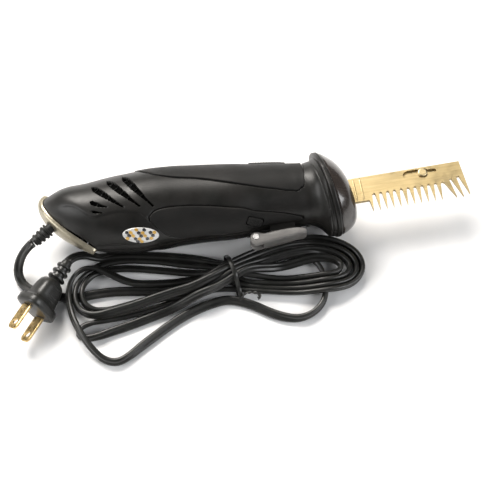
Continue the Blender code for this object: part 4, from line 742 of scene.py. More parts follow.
def zip_outline(count=10):
    """Two round wires side by side with a shallow valley between them."""
    points = []
    radius = CORD_HALF_THICKNESS
    offset = CORD_HALF_WIDTH - radius
    for side in (1, -1):
        for k in range(count):
            turn = math.radians(-142 + 284 * k / (count - 1))
            x = offset + radius * math.cos(turn)
            points.append((side * x, side * radius * math.sin(turn)))
    return points


def make_cord():
    middle, edge = cord_route()
    vertices, faces = tube_of(sweep(middle, edge * math.pi / 2, zip_outline()))
    cord = add_piece("mains_cord", vertices, faces, "cord_black", "handle",
                     ("cord_lead", "cord_end", "cord_hank"), 180)
    return cord, middle, edge


def plug_axes():
    heading = math.radians(PLUG_HEADING)
    roll = math.radians(PLUG_ROLL)
    along = Vector((math.cos(heading), math.sin(heading), 0.0))
    level = Vector((math.sin(heading), -math.cos(heading), 0.0))
    wide = level * math.cos(roll) - Vector((0, 0, 1)) * math.sin(roll)
    thick = level * math.sin(roll) + Vector((0, 0, 1)) * math.cos(roll)
    return along, wide, thick


PLUG_BODY = (            # (distance from the face, half width, half thickness, squareness)
    (0.0000, 0.0103, 0.0079, 0.55), (0.0004, 0.0110, 0.0086, 0.55), (0.0012, 0.0115, 0.0090, 0.55),
    (0.0046, 0.0114, 0.0089, 0.55), (0.0055, 0.0109, 0.0085, 0.58), (0.0062, 0.0096, 0.0076, 0.62),
    (0.0072, 0.0089, 0.0071, 0.66), (0.0100, 0.0085, 0.0067, 0.68), (0.0150, 0.0080, 0.0064, 0.70),
    (0.0180, 0.0073, 0.0059, 0.74), (0.0196, 0.0062, 0.0053, 0.82), (0.0206, 0.0044, 0.0042, 0.95),
    (0.0213, 0.0036, 0.0036, 1.0),
)
NECK_RIB_PITCH = 0.0040


def plug_sections():
    """The moulded body, then the ribbed neck that thins towards the cord."""
    rows = list(PLUG_BODY)
    for rib in range(3):
        start = 0.0219 + NECK_RIB_PITCH * rib
        crest, valley = 0.0052 - 0.0004 * rib, 0.0035 - 0.00015 * rib
        for offset, share in ((0.0, 0.0), (0.0002, 0.75), (0.0006, 1.0), (0.0014, 1.0), (0.0018, 0.75),
                              (0.0021, 0.0)):
            radius = valley + (crest - valley) * share
            rows.append((start + offset, radius, radius * 0.96, 1.0))
    rows += [(0.0330, 0.0031, 0.0030, 1.0), (0.0343, 0.0029, 0.0028, 1.0)]
    return rows


def make_plug():
    along, wide, thick = plug_axes()
    rings = []
    for distance, half_wide, half_thick, square in plug_sections():
        ring = []
        for turn in full_turn(56):
            u, v = squared(turn, square)
            ring.append(PLUG_FACE + along * distance + wide * (u * half_wide) + thick * (v * half_thick))
        rings.append(ring)
    vertices, faces = tube_of(rings)
    body = add_piece("plug_shell", vertices, faces, "cord_black", "handle", ("plug_body",), 38)
    bars = []
    for bar in range(4):
        for side in (1, -1):
            centre = PLUG_FACE + along * (0.0088 + 0.0026 * bar) + thick * side * (0.0064 - 0.00022 * bar)
            bars.append(ridge("plug_grip_%d_%s" % (bar + 1, "a" if side > 0 else "b"), centre, wide, along,
                              thick * side, 0.0048 - 0.0003 * bar, 0.00055, 0.0006, "cord_black"))
    return body, bars


def ridge(name, centre, length_axis, width_axis, up_axis, half_length, half_width, height, finish,
          body="handle"):
    """A small rounded bar lying on a surface."""
    rings = []
    steps = 9
    for k in range(steps):
        t = -1 + 2 * k / (steps - 1)
        end = math.sqrt(max(1 - abs(t) ** 6, 0.02))
        ring = []
        for turn in full_turn(12):
            ring.append(centre + length_axis * half_length * t + width_axis * half_width * end * math.cos(turn)
                        + up_axis * height * end * math.sin(turn))
        rings.append(ring)
    vertices, faces = tube_of(rings)
    return add_piece(name, vertices, faces, finish, body, (), 180)


def revolve(profile, origin, direction, sides=48):
    """Rings of a turned shape, profile = (distance along, radius)."""
    direction = Vector(direction).normalized()
    first = direction.orthogonal().normalized()
    second = direction.cross(first)
    rings = []
    for distance, radius in profile:
        rings.append([Vector(origin) + direction * distance
                      + (first * math.cos(turn) + second * math.sin(turn)) * radius for turn in full_turn(sides)])
    return rings


def make_relief():
    """The ribbed sleeve at the tail: a collar and three rounded rings on a thinning neck."""
    profile = [(-0.0042, 0.0028), (0.0018, 0.0029), (0.0018, 0.0037), (0.0020, 0.0041), (0.0027, 0.0041),
               (0.0030, 0.0037), (0.0031, 0.0031)]
    for rib in range(3):
        start = 0.0035 + 0.0029 * rib
        crest, valley = 0.0040 - 0.0002 * rib, 0.0030 - 0.0001 * rib
        for offset, share in ((0.0, 0.0), (0.0002, 0.7), (0.0005, 1.0), (0.0014, 1.0), (0.0018, 0.7),
                              (0.0020, 0.0)):
            profile.append((start + offset, valley + (crest - valley) * share))
    profile += [(0.0120, 0.0029), (RELIEF_LENGTH, 0.0027)]
    vertices, faces = tube_of(revolve(profile, RELIEF_FACE, RELIEF_DIRECTION))
    return add_piece("relief_sleeve", vertices, faces, "cord_black", "handle", ("strain_relief",), 38)


TIE_HALF_WIDTH = 0.0012
TIE_HALF_THICKNESS = 0.00028
TIE_OUTLINE = (          # flat edges with the wire's bead along the middle
    (-1, -0.4), (-0.8, -1), (-0.3, -1), (0, -1.5), (0.3, -1), (0.8, -1), (1, -0.4), (1, 0.4), (0.8, 1),
    (0.3, 1),
    (0, 1.5), (-0.3, 1), (-0.8, 1), (-1, 0.4),
)
TIE_END_ROUTE = (
    (-0.0563, -0.0436, 0.0052), (-0.0535, -0.0428, 0.0090), (-0.0500, -0.0436, 0.0100),
    (-0.0470, -0.0452, 0.0098),
    (-0.0462, -0.0468, 0.0092), (-0.0478, -0.0474, 0.0088),
)


def make_tie(middle, edge):
    """A twist tie round the crossing, its ends wound together beside it."""
    half_high = CORD_HALF_THICKNESS + (CORD_HALF_WIDTH - CORD_HALF_THICKNESS) * edge
    top = []
    ys = np.linspace(-0.0185, -0.0425, 15)
    for k, y in enumerate(ys):
        x = -0.0603 + 0.0039 * k / 14
        near = (np.abs(middle[:, 0] - x) < 0.003) & (np.abs(middle[:, 1] - y) < 0.0034)
        z = (middle[near, 2] + half_high[near]).max() if near.any() else 0.0030
        top.append([x, y, z + 0.0007])
    top = np.array(top)
    top[:, 2] = blurred(top[:, 2], 1.2) + 0.0006
    loop = [tuple(p) for p in top]
    loop += [(-0.0563, -0.0447, max(top[-1, 2] - 0.0035, 0.0012)), (-0.0563, -0.0447, 0.0009),
             (-0.0570, -0.0400, 0.0008), (-0.0590, -0.0250, 0.0008), (-0.0604, -0.0175, 0.0009),
             (-0.0605, -0.0166, max(top[0, 2] - 0.0030, 0.0012))]
    points = resample(np.array(loop + [loop[0]]), 0.0012)[:-1]
    tangent = unit_rows(np.roll(points, -1, axis=0) - np.roll(points, 1, axis=0))
    wide = np.array([1.0, 0.16, 0.0])
    wide = unit_rows(wide - tangent * (tangent @ wide)[:, None])
    thick = np.cross(tangent, wide)
    rings = []
    for p, w, t in zip(points, wide, thick):
        ring = []
        for u, v in TIE_OUTLINE:
            x, y, z = p + w * TIE_HALF_WIDTH * u + t * TIE_HALF_THICKNESS * v
            ring.append((x, y, max(z, 0.0)))
        rings.append(ring)
    vertices, faces = tube_of(rings, closed=True)
    tie = add_piece("tie_strap", vertices, faces, "cord_black", "handle", ("cord_tie",), 60)
    tail = resample(TIE_END_ROUTE, 0.0004)
    strand = [(0.0009 * math.cos(a),
               0.00042 * math.sin(a)) for a in np.linspace(0, 2 * math.pi, 12, endpoint=False)]
    vertices, faces = tube_of(sweep(tail, np.linspace(0, 5 * math.pi, len(tail)), strand))
    ends = add_piece("tie_ends", vertices, faces, "cord_black", "handle", (), 60)
    return tie, ends


make_camera()
mains_cord, cord_middle, cord_edge = make_cord()
relief = make_relief()
plug, plug_bars = make_plug()
tie, tie_ends = make_tie(cord_middle, cord_edge)


# ---------------------------------------------------------------- the housing
# Air slots on the unrolled skin: top (x, s), bottom (x, s), half width, bow; s is the way round from the spine.
AIR_SLOTS = (
    (-0.1113, 0.0195, -0.0972, 0.0443, 0.00195, 0.0012),
    (-0.1203, 0.0204, -0.1045, 0.0430, 0.00200, 0.0013),
    (-0.1292, 0.0230, -0.1136, 0.0420, 0.00190, 0.0012),
    (-0.1313, 0.0352, -0.1224, 0.0404, 0.00130, 0.0005),
    (-0.1313, 0.0416, -0.1253, 0.0434, 0.00085, 0.0002),
)
SLOT_DEPTH = 0.0019
UNROLLED_RADIUS = 0.0225
# The soft fold that bounds the sunken field round the badge: (x, angle of the fold).
FOLD = ((-0.1500, 84.0), (-0.1400, 93.0), (-0.1310, 113.0), (-0.1250, 111.0), (-0.1120, 111.5),
        (-0.1040, 120.0),
        (-0.0985, 138.0))


def slot_lift(x, angle):
    """How far the air slots sink the skin at each point: pointed at the top, wide, then thinning out."""
    around = np.radians(angle) * UNROLLED_RADIUS
    sunk = np.zeros_like(x)
    for x0, s0, x1, s1, half, bow in AIR_SLOTS:
        length = math.hypot(x1 - x0, s1 - s0)
        ux, us = (x1 - x0) / length, (s1 - s0) / length
        along = (x - x0) * ux + (around - s0) * us
        across = (x - x0) * us - (around - s0) * ux
        t = np.clip(along / length, 0.0, 1.0)
        width = half * smooth_step(t, 0.0, 0.16) ** 0.7 * (1.0 - 0.72 * smooth_step(t, 0.30, 1.0))
        reach = width - np.abs(across + bow * np.sin(math.pi * t))
        reach = np.minimum(reach, np.minimum(along, length - along))
        depth = smooth_step(reach, -0.00010, 0.00035)
        web = smooth_step(np.abs((along / 0.0049 + 0.1) % 1.0 - 0.5), 0.41, 0.46)
        sunk = np.maximum(sunk, depth * (1.0 - 0.50 * web))
    return -SLOT_DEPTH * sunk


PAD_RECESS = 0.00075
FIELD_DEPTH = 0.00055
GROOVE = (0.0024, 0.00032, 0.00050)      # the groove at the guard: distance behind it, half width, depth
SEAM_DEPTH = 0.00022


def housing_lift(x, angle, y):
    """The casing's relief: slots, recesses for the pads, the fold, the groove at the guard and the seam."""
    lift = slot_lift(x, angle)
    top_edge = smooth_value(TOP_PAD_EDGE, x)[..., 0]
    inside_top = np.minimum(np.radians(top_edge - angle) * MEAN_RADIUS, np.minimum(x + 0.1049, -0.0104 - x))
    first, last = np.moveaxis(smooth_value(SIDE_PAD_EDGES, x), -1, 0)
    inside_side = np.minimum(np.radians(np.minimum(angle - first, last - angle)) * MEAN_RADIUS,
                             np.minimum(x + 0.1007, -0.0156 - x))
    inside = np.maximum(inside_top, inside_side)
    lift = lift - PAD_RECESS * smooth_step(inside, -0.00065, -0.00005)
    fold = smooth_value(FOLD, x)[..., 0]
    below = np.radians(angle - fold) * 0.020
    field = smooth_step(below, 0.0, 0.0016) * smooth_step(x, -0.1500, -0.1440)
    field = field * (1 - smooth_step(x, -0.1010, -0.0960))
    lift = lift - FIELD_DEPTH * field * (1 - smooth_step(angle, 168.0, 176.0))
    behind = guard_x(y) - x
    lift = lift - GROOVE[2] * np.exp(-(((behind - GROOVE[0]) / GROOVE[1]) ** 2))
    seam = np.minimum(angle, 180 - angle)
    return lift - SEAM_DEPTH * (1 - smooth_step(np.radians(seam) * MEAN_RADIUS, 0.0001, 0.0006))


def handle_shares():
    """Shares along the handle, closer together where the air slots and the pad ends are."""
    spans = ((-0.1530, -0.1340, 0.00060), (-0.1340, -0.0950, 0.00034), (-0.0950, -0.0200, 0.00075),
             (-0.0200, -0.0010, 0.00036))
    xs = [x for start, end, step in spans for x in np.arange(start, end - step / 2, step)]
    start = spans[0][0]
    return (np.array(xs + [GUARD_BACK_X]) - start) / (GUARD_BACK_X - start)


def paint_slot_shade(half):
    """Paints shade on the floors of the air slots: faces sunk deep in a slot take the near-black painted-shade
    material.
    """
    mesh = half.data
    mesh.materials.append(slot_floor_painted_shade())
    centres = np.empty(3 * len(mesh.polygons))
    mesh.polygons.foreach_get("center", centres)
    x, y, z = centres.reshape(-1, 3).T
    section = smooth_value(HANDLE_SECTIONS, x)
    angle = np.degrees(np.arctan2(np.abs(z - AXIS_Z) / section[:, 2], (y - section[:, 0]) / section[:, 1]))
    # painted shade: faces sunk past 0.62 of the slot depth take the near-black second material
    index = np.where(slot_lift(x, angle) < -0.62 * SLOT_DEPTH, 1, 0).astype(np.int32)
    mesh.polygons.foreach_set("material_index", index)


def make_housing(half_name, side):
    """One half of the casing: outer and inner skin, then its openings."""
    shares = handle_shares()
    angles = np.concatenate([[0.0, 0.6], np.linspace(1.6, 178.4, 152), [179.4, 180.0]])
    share, angle = np.meshgrid(shares, angles, indexing="ij")
    x = handle_x(share, angle)
    y = skin(x, angle)[..., 1]
    lift = housing_lift(x, angle, y)
    outer = skin(x, angle, lift)
    inner = skin(x, angle, -WALL)
    for shell in (outer, inner):
        dz = np.maximum(shell[..., 2] - AXIS_Z, 0.0)
        shell[..., 2] = AXIS_Z + side * (GAP / 2 + dz * (1 - GAP / 2 / GUARD_RADIUS))
    vertices, faces = slab(outer, inner)
    half = add_piece("casing_" + half_name, vertices, faces, "black_plastic", "handle",
                     ("housing_" + half_name,), 35)
    carve(half, *release_tool(side, GAP, -0.0050, 0.0040))
    if side < 0:
        for x_screw, y_screw in SCREW_PLACES:
            carve_screw_well(half, x_screw, y_screw)
    carve_block(half, *LOCK_SLOT)
    # painted shade on the floors of the air slots
    paint_slot_shade(half)


def rod_points(start, direction, length, radius, sides=24):
    return tube_of(revolve([(0.0, radius), (length, radius)], start, direction, sides))


def release_frame(side):
    """The place of a release button: its centre on the skin, its outward normal and its length axis."""
    centre = Vector(skin(RELEASE_X, side * RELEASE_ANGLE))
    turn = math.radians(RELEASE_ANGLE)
    normal = Vector((0.0, math.cos(turn), side * math.sin(turn)))
    around = Vector((0.0, -math.sin(turn), side * math.cos(turn)))
    tilt = math.radians(RELEASE_TILT)
    along = Vector((math.cos(tilt), 0.0, 0.0)) + around * math.sin(tilt)
    return centre, normal, along


def release_ring(side, depth, margin, squareness=0.35, shrink=1.0):
    """An outline of a release button, raised off the skin by a depth and widened by a margin."""
    centre, normal, along = release_frame(side)
    across = normal.cross(along)
    ring = []
    for turn in full_turn(40):
        u, v = squared(turn, squareness)
        u *= (RELEASE_LENGTH / 2 + margin)
        v *= (RELEASE_HEIGHT / 2 + margin)
        ring.append(centre + normal * depth + along * (u * shrink) + across * (v * shrink))
    return ring


def release_tool(side, margin, low, high):
    return tube_of([release_ring(side, low, margin), release_ring(side, high, margin)])


def make_release_button(half_name, side):
    """A soft-edged button with raised ribs across it."""
    name, body = "release_" + half_name + "_cap", "release_" + half_name
    rings = [release_ring(side, depth, -0.0002, 0.40, shrink)
             for depth, shrink in ((-0.0030, 1.0), (0.0005, 1.0), (0.0009, 0.985), (0.0011, 0.95),
                                   (0.0012, 0.88),
                                   (0.0012, 0.5))]
    vertices, faces = tube_of(rings)
    add_piece(name, vertices, faces, "soft_grip", body, ("release_button_" + half_name,), 60)
    centre, normal, along = release_frame(side)
    across = normal.cross(along)
    for k in range(3):
        middle = centre + normal * 0.0011 + along * (-0.0022 + 0.0022 * k)
        ridge(name + "_rib_%d" % (k + 1), middle, across, along, normal, 0.0018, 0.00045, 0.00045,
              "soft_grip", body)


# ---------------------------------------------------------------- grips
PAD_TOP = 0.00055
PAD_FOOT = -0.00045


def pad_lift(border):
    """A pad's outside height from its distance to its border: a rounded shoulder, then level."""
    return PAD_FOOT + (PAD_TOP - PAD_FOOT) * shoulder(border, 0.0007)


def make_top_pad():
    """The grip pad over the spine, with the lock's slot."""
    xs = np.concatenate([np.linspace(-0.1045, -0.1030, 10), np.linspace(-0.1026, -0.0200, 200),
                         np.linspace(-0.0197, -0.0108, 44)])
    edge = smooth_value(TOP_PAD_EDGE, xs)[:, 0]
    share = np.sin(np.linspace(-1, 1, 161) * math.pi / 2)
    share = 0.35 * share + 0.65 * np.linspace(-1, 1, 161)
    x, part = np.meshgrid(xs, share, indexing="ij")
    angle = part * edge[:, None]
    border = np.minimum(np.radians(edge[:, None] - np.abs(angle)) * MEAN_RADIUS,
                        np.minimum(x - xs[0], xs[-1] - x))
    outer = skin(x, angle, pad_lift(border))
    inner = skin(x, angle, PAD_FOOT - 0.0002)
    vertices, faces = slab(outer, inner)
    pad = add_piece("top_grip", vertices, faces, "soft_grip", "handle", ("top_grip_pad",), 50)
    carve_block(pad, *LOCK_SLOT)


def make_side_pad(half_name, side):
    """A grip pad on the belly's side, cut out round its release button and screw."""
    xs = np.concatenate([np.linspace(-0.1003, -0.0980, 14), np.linspace(-0.0976, -0.0230, 190),
                         np.linspace(-0.0226, -0.0160, 26)])
    edges = smooth_value(SIDE_PAD_EDGES, xs)
    x, part = np.meshgrid(xs, np.linspace(0, 1, 61), indexing="ij")
    first, last = edges[:, :1], edges[:, 1:]
    angle = first + (last - first) * part
    border = np.minimum(np.radians(np.minimum(angle - first, last - angle)) * MEAN_RADIUS,
                        np.minimum(x - xs[0], xs[-1] - x))
    outer = skin(x, side * angle, pad_lift(border))
    inner = skin(x, side * angle, PAD_FOOT - 0.0002)
    vertices, faces = slab(outer, inner)
    pad = add_piece("side_grip_" + half_name, vertices, faces, "soft_grip", "handle",
                    ("side_grip_pad_" + half_name,), 50)
    carve(pad, *release_tool(side, GAP, -0.0040, 0.0040))
    if side < 0:
        carve_screw_well(pad, *SCREW_PLACES[2])


def make_lock_slider():
    """The slide lock on the spine: a rounded cap with cross ridges, and its foot in the slot."""
    xs = np.linspace(-0.0396, -0.0190, 100)
    part = np.linspace(-1, 1, 41)
    x, v = np.meshgrid(xs, part, indexing="ij")
    angle = 20.0 * v
    border = np.minimum(np.minimum(x - xs[0], xs[-1] - x), (1 - np.abs(v)) * 0.0069)
    crown = 0.0008 * shoulder(border, 0.0009)
    middle = smooth_step(x, -0.0375, -0.0365) * (1 - smooth_step(x, -0.0220, -0.0210))
    middle = middle * smooth_step(1 - np.abs(v), 0.08, 0.2)
    ridges = 0.00032 * middle * np.clip(0.5 + 0.5 * np.cos((x + 0.0293) / 0.00150 * 2 * math.pi), 0, 1) ** 1.5
    outer = skin(x, angle, 0.00075 + crown + ridges)
    inner = skin(x, angle, 0.00060)
    vertices, faces = slab(outer, inner)
    add_piece("lock_cap", vertices, faces, "soft_grip", "lock", ("lock_slider",), 50)
    spine = float(skin(-0.0300, 0.0)[1])
    foot = add_piece("lock_foot", block_points((-0.0325, spine - 0.0050, AXIS_Z - 0.0030),
                                               (-0.0265, spine + 0.0012, AXIS_Z + 0.0030)),
                     BLOCK_FACES, "soft_grip", "lock", (), 30)
    soften(foot, 0.0003)


def soften(item, width):
    """Rounds a piece's edges, welding the split points of an imported mesh first."""
    weld = item.modifiers.new("weld", "WELD")
    weld.merge_threshold = 0.000001
    bevel = item.modifiers.new("rounding", "BEVEL")
    bevel.width = width
    bevel.segments = 2
    bevel.limit_method = "ANGLE"
    bevel.angle_limit = math.radians(35)
    bevel.harden_normals = False


# ---------------------------------------------------------------- badge
HEX_SIZE = 0.00125


def badge_point(u, v, lift):
    """A point of the badge's oval: u and v run from -1 to 1 across it."""
    return skin(BADGE_X + BADGE_HALF_LENGTH * u, BADGE_ANGLE + BADGE_HALF_ANGLE * v + BADGE_TWIST * u, lift)


def make_badge():
    """A domed oval with a raised rim and a plain honeycomb: dark and amber cells, the others left pale."""
    turns = np.linspace(0, 2 * math.pi, 72, endpoint=False)
    rows = []
    for share, lift in ((1.0, -0.0003), (1.0, 0.0003), (0.985, 0.0005), (0.955, 0.0006), (0.925, 0.0005),
                        (0.90, 0.00038), (0.6, 0.00042), (0.3, 0.00045), (0.04, 0.00046)):
        rows.append(badge_point(share * np.cos(turns), share * np.sin(turns), lift - 0.0004))
    vertices, faces = tube_of(rows)
    add_piece("badge_plate", vertices, faces, "badge_white", "handle", ("badge",), 50)
    half_height = math.radians(BADGE_HALF_ANGLE) * MEAN_RADIUS
    tints = {"badge_cells_dark": [], "badge_cells_amber": []}
    for row in range(-5, 6):
        for column in range(-6, 7):
            cx = (column + 0.5 * (row % 2)) * HEX_SIZE * 1.732
            cy = row * HEX_SIZE * 1.5
            if math.hypot(cx / BADGE_HALF_LENGTH, cy / half_height) > 0.86:
                continue
            kind = (column + 2 * row) % 3
            if kind == 2:
                continue
            tints["badge_cells_dark" if kind == 0 else "badge_cells_amber"].append((cx, cy))
    for name, centres in tints.items():
        points, quads = [], []
        for cx, cy in centres:
            start = len(points)
            for lift, size in ((-0.0001, 0.90), (0.00016, 0.90), (0.00020, 0.80)):
                for k in range(6):
                    turn = math.radians(60 * k + 30)
                    u = (cx + HEX_SIZE * size * math.cos(turn)) / BADGE_HALF_LENGTH
                    v = (cy + HEX_SIZE * size * math.sin(turn)) / half_height
                    points.append(badge_point(u, v, lift))
            quads += grid_faces(3, 6, start, False, True)
            quads.append(tuple(start + k for k in range(6))[::-1])
            quads.append(tuple(start + 12 + k for k in range(6)))
        cells = add_piece(name, points, quads, "badge_white", "handle", (), 30)
        dark = name.endswith("dark")
        cells.data.materials[0] = badge_coat(name + "_print", (0.020, 0.020,
                                                               0.022) if dark else (0.60, 0.33, 0.05),
                                             (0.032, 0.032, 0.034) if dark else (0.78, 0.47, 0.09))


# ---------------------------------------------------------------- tail, guard and nose
def make_tail_trim():
    """The bulged champagne strip that closes the tail along its slanted cut."""
    angles = np.linspace(4.0, 176.0, 90)
    x = handle_x(np.zeros_like(angles), angles)
    edge = skin(x, angles)
    across = np.linspace(-1, 1, 33)
    rows_out, rows_in = [], []
    for k, point in enumerate(edge):
        y = point[1] + 0.0003 * math.cos(math.radians(angles[k]))
        half = point[2] - AXIS_Z + 0.0003
        slope = float(tail_x(y + 0.0005) - tail_x(y - 0.0005)) / 0.001
        normal = np.array(Vector((-1.0, slope, 0.0)).normalized())
        end = min(k, len(edge) - 1 - k) / 6.0
        outer, inner = [], []
        for a in across:
            border = min((1 - abs(a)) * half / 0.0012, end)
            round_off = math.sqrt(max(1 - (1 - min(border, 1.0)) ** 2, 0.0))
            bulge = 1.45 - 0.45 * a * a
            foot = np.array((float(tail_x(y)), y, AXIS_Z + half * a))
            inner.append(foot + normal * GAP)
            outer.append(foot + normal * (GAP + TAIL_TRIM_THICKNESS * (0.30 + (bulge - 0.30) * round_off)))
        rows_out.append(outer)
        rows_in.append(inner)
    vertices, faces = slab(np.array(rows_out), np.array(rows_in))
    trim = add_piece("tail_plate", vertices, faces, "champagne_trim", "handle", ("tail_trim",), 40)
    carve(trim, *rod_points(RELIEF_FACE - RELIEF_DIRECTION * 0.008, RELIEF_DIRECTION, 0.012, 0.0032))


def make_guard():
    """The finger guard: a raked flange with flats, rounded edges and a fine groove round its rim."""
    profile = ((0.0, GUARD_BORE - GUARD_RADIUS), (0.0, -0.0009), (0.00015, -0.00035), (0.0005, -0.00005),
               (0.0008, 0.0),
               (0.00125, 0.0), (0.0014, -0.00025), (0.0016, -0.00025), (0.00175, 0.0), (0.0022, 0.0),
               (0.0025, -0.00008), (0.00285, -0.0004), (0.0030, -0.0010), (0.0030, GUARD_BORE - GUARD_RADIUS))
    rings = []
    for turn in full_turn(144):
        ring = []
        for shift, offset in profile:
            scale = (GUARD_RADIUS + offset) / GUARD_RADIUS
            limit = AXIS_Z + min(offset, 0.0)
            y = GUARD_CENTRE_Y + GUARD_RADIUS * scale * math.cos(turn)
            z = max(-limit, min(limit, GUARD_BULGE * scale * math.sin(turn)))
            ring.append((guard_x(y) + shift, y, AXIS_Z + z))
        rings.append(ring)
    vertices, faces = tube_of(rings, closed=True)
    add_piece("guard_flange", vertices, faces, "black_plastic", "handle", ("guard_ring",), 40)


def nose_depth(share, turn):
    power = 4.75 - 1.25 * math.cos(turn)
    return (NOSE_DEPTH - 0.0004 * math.cos(turn)) * (1 - share**power)


def nose_row(share, scale, thin, at_base, steps):
    """One ring of the cap at a share of its radius, on its base or on its dome."""
    row = []
    for turn in full_turn(steps):
        y = GUARD_CENTRE_Y + NOSE_RADIUS * share * scale * math.cos(turn)
        z = AXIS_Z + NOSE_RADIUS * share * scale * math.sin(turn)
        base = guard_x(y) + GUARD_THICKNESS + GAP
        x = base if at_base else base + max(NOSE_RIM + nose_depth(share, turn) - thin, 0.0002)
        row.append((x, y, z))
    return row


def make_nose():
    """The domed cap, hollow behind, with the slot that the blades come out of."""
    steps = 112
    shares = [1.0, 0.995, 0.985, 0.97, 0.95, 0.925, 0.895, 0.86, 0.82, 0.77, 0.71, 0.64, 0.55, 0.45, 0.34,
              0.22, 0.10,
              0.01]
    inner_scale = (NOSE_RADIUS - NOSE_WALL) / NOSE_RADIUS
    rows = [nose_row(1.0, inner_scale, 0.0, True, steps), nose_row(1.0, 1.0, 0.0, True, steps)]
    rows += [nose_row(share, 1.0, 0.0, False, steps) for share in shares]
    inside = [0.01, 0.25, 0.45, 0.62, 0.76, 0.88, 0.95]
    rows += [nose_row(share, inner_scale, NOSE_WALL, False, steps) for share in inside]
    vertices = [p for row in rows for p in row]
    tip = 1 + len(shares)        # the dome's last row outside; the next row is the first inside
    faces = [f for f in grid_faces(len(rows), steps, 0, True, True) if f[0] // steps != tip]
    for k in (tip, tip + 1):
        faces.append(tuple(k * steps + i for i in range(steps)))
    cap = add_piece("nose_dome", vertices, faces, "nose_gloss", "handle", ("nose_cap",), 45)
    middle_y = (BLADE_BACK_Y + BLADE_SHANK_Y) / 2
    half_y, half_z = BLADE_SLOT[0] / 2, BLADE_SLOT[1] / 2
    carve_block(cap, (0.002, middle_y - half_y, AXIS_Z - half_z), (0.030, middle_y + half_y, AXIS_Z + half_z))


TRIGGER_PIVOT = (-0.0435, -0.0188)
TRIGGER_HALF_WIDTH = 0.0045
TRIGGER_OUTLINE = (
    (-0.0468, -0.0190), (-0.0466, -0.0212), (-0.0456, -0.0228), (-0.0440, -0.0236), (-0.0400, -0.0234),
    (-0.0300, -0.0223), (-0.0200, -0.0213), (-0.0158, -0.0209), (-0.0147, -0.0199), (-0.0155, -0.0184),
    (-0.0176, -0.0175), (-0.0233, -0.0168), (-0.0319, -0.0169), (-0.0400, -0.0170), (-0.0420, -0.0160),
    (-0.0443, -0.0158), (-0.0460, -0.0170),
)


def make_trigger():
    """The grey lever, crowned across and forked over its lug, with the dark web that reaches the switch."""
    outline = np.array(TRIGGER_OUTLINE)
    closed = np.vstack([outline[-2:], outline, outline[:3]])
    curve = resample(np.column_stack([closed, np.zeros(len(closed))]), 0.0006)
    start = int(np.argmin(np.linalg.norm(curve[:len(curve) // 4, :2] - outline[0], axis=1)))
    end = len(curve) // 2 + int(np.argmin(np.linalg.norm(curve[len(curve) // 2:, :2] - outline[0], axis=1)))
    curve = curve[start:end, :2]
    middle = curve.mean(axis=0)
    rings = []
    for height, inset in ((-1.0, 0.0011), (-0.985, 0.0006), (-0.94, 0.00025), (-0.86, 0.00005), (-0.6, 0.0),
                          (0.0, 0.0),
                          (0.6, 0.0), (0.86, 0.00005), (0.94, 0.00025), (0.985, 0.0006), (1.0, 0.0011)):
        ring = []
        for x, y in curve:
            ahead = 1 - 2.2 * inset / max(abs(y - middle[1]) + 0.002, 0.001)
            ring.append((middle[0] + (x - middle[0]) * (1 - inset / 0.016),
                         middle[1] + (y - middle[1]) * ahead,
                         AXIS_Z + TRIGGER_HALF_WIDTH * height))
        rings.append(ring)
    vertices, faces = tube_of(rings)
    lever = add_piece("trigger_shell", vertices, faces, "grey_plastic", "trigger_lever", ("trigger",), 40)
    carve_block(lever, (-0.0520, -0.0300, AXIS_Z - 0.0025), (-0.0398, -0.0100, AXIS_Z + 0.0025))
    carve(lever, *rod_points((*TRIGGER_PIVOT, 0.0), (0, 0, 1), 0.049, 0.0019))
    corners = block_points((-0.0345, -0.0180, AXIS_Z - 0.0022), (-0.0205, -0.0116, AXIS_Z + 0.0022))
    web = add_piece("trigger_web", corners, BLOCK_FACES, "black_plastic", "trigger_lever", (), 30)
    soften(web, 0.0004)


def make_bend_lines():
    """The two shallow bends across the comb plates where they step towards each other."""
    middle_y = (BLADE_BACK_Y + BLADE_SHANK_Y) / 2
    for half_name, side in SIDES:
        for number, x in enumerate((0.0172, 0.0210), 1):
            ridge("blade_bend_%s_%d" % (half_name, number),
                  Vector((x, middle_y, AXIS_Z + side * 0.00115)), Vector((0, 1, 0)), Vector((1, 0, 0)),
                  Vector((0, 0, side)), 0.0073, 0.0005, 0.00022, "blade_steel", "comb_" + half_name)


for half_name, side in SIDES:
    make_housing(half_name, side)
make_top_pad()
for half_name, side in SIDES:
    make_side_pad(half_name, side)
make_lock_slider()
for half_name, side in SIDES:
    make_release_button(half_name, side)
make_badge()
make_tail_trim()
make_guard()
make_nose()
make_trigger()
make_bend_lines()


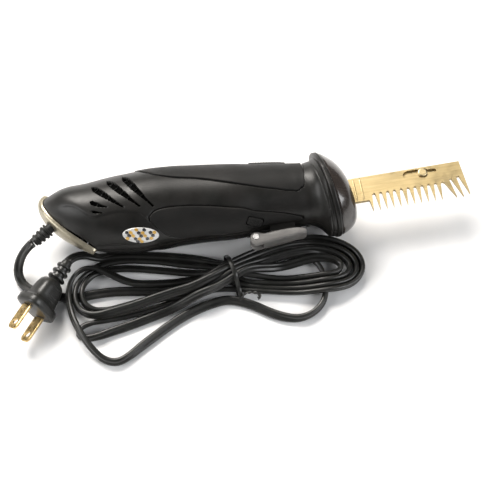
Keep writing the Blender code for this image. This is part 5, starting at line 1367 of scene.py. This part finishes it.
# ---------------------------------------------------------------- what stays from the CAD
ROUNDED_NODES = {"blade_upper": 0.00012, "blade_lower": 0.00012, "plug_prong_1": 0.00025,
                 "plug_prong_2": 0.00025}
for part in frame["record"]["subparts"]:
    node = frame["nodes"][part["node"]]
    for material_slot in node.material_slots:
        material_slot.material = FINISHES[part["material_slot"]]
    if part["node"] in ROUNDED_NODES:
        soften(node, ROUNDED_NODES[part["node"]])


# ---------------------------------------------------------------- floor and light
FLOOR_HALF = 3
FLOOR_HEIGHT = -0.0002           # just under what the knife and its cord lie on


def make_floor():
    mesh = bpy.data.meshes.new("floor")
    corners = [(x, y, FLOOR_HEIGHT) for x, y in ((-1, -1), (1, -1), (1, 1), (-1, 1))]
    mesh.from_pydata([(FLOOR_HALF * x, FLOOR_HALF * y, z) for x, y, z in corners], [], [(0, 1, 2, 3)])
    mesh.materials.append(floor_paper())
    new_object("floor", mesh)


def soft_light(name, place, target, width, height, power, colour=(1.0, 1.0, 1.0)):
    lamp = bpy.data.lights.new(name, "AREA")
    lamp.shape = "RECTANGLE"
    lamp.size, lamp.size_y = width, height
    lamp.energy = power
    lamp.color = colour
    item = new_object(name, lamp)
    item.location = place
    item.rotation_mode = "QUATERNION"
    item.rotation_quaternion = (Vector(target) - Vector(place)).to_track_quat("-Z", "Y")


def make_light():
    world = bpy.data.worlds.new("studio")
    world.use_nodes = True
    world.node_tree.nodes["Background"].inputs["Color"].default_value = (0.95, 0.97, 1.0, 1.0)
    world.node_tree.nodes["Background"].inputs["Strength"].default_value = 0.13
    bpy.context.scene.world = world
    centre = (-0.04, -0.01, 0.02)
    soft_light("key", (-0.35, 0.95, 1.05), centre, 0.9, 0.6, 36.0, (1.0, 0.96, 0.91))
    soft_light("fill", (1.1, -0.7, 0.9), centre, 0.8, 0.8, 15.0, (0.97, 0.98, 1.0))
    soft_light("side", (-1.1, -0.1, 0.6), centre, 0.7, 0.7, 8.0)
    bpy.context.scene.view_settings.view_transform = "Standard"


make_floor()
make_light()
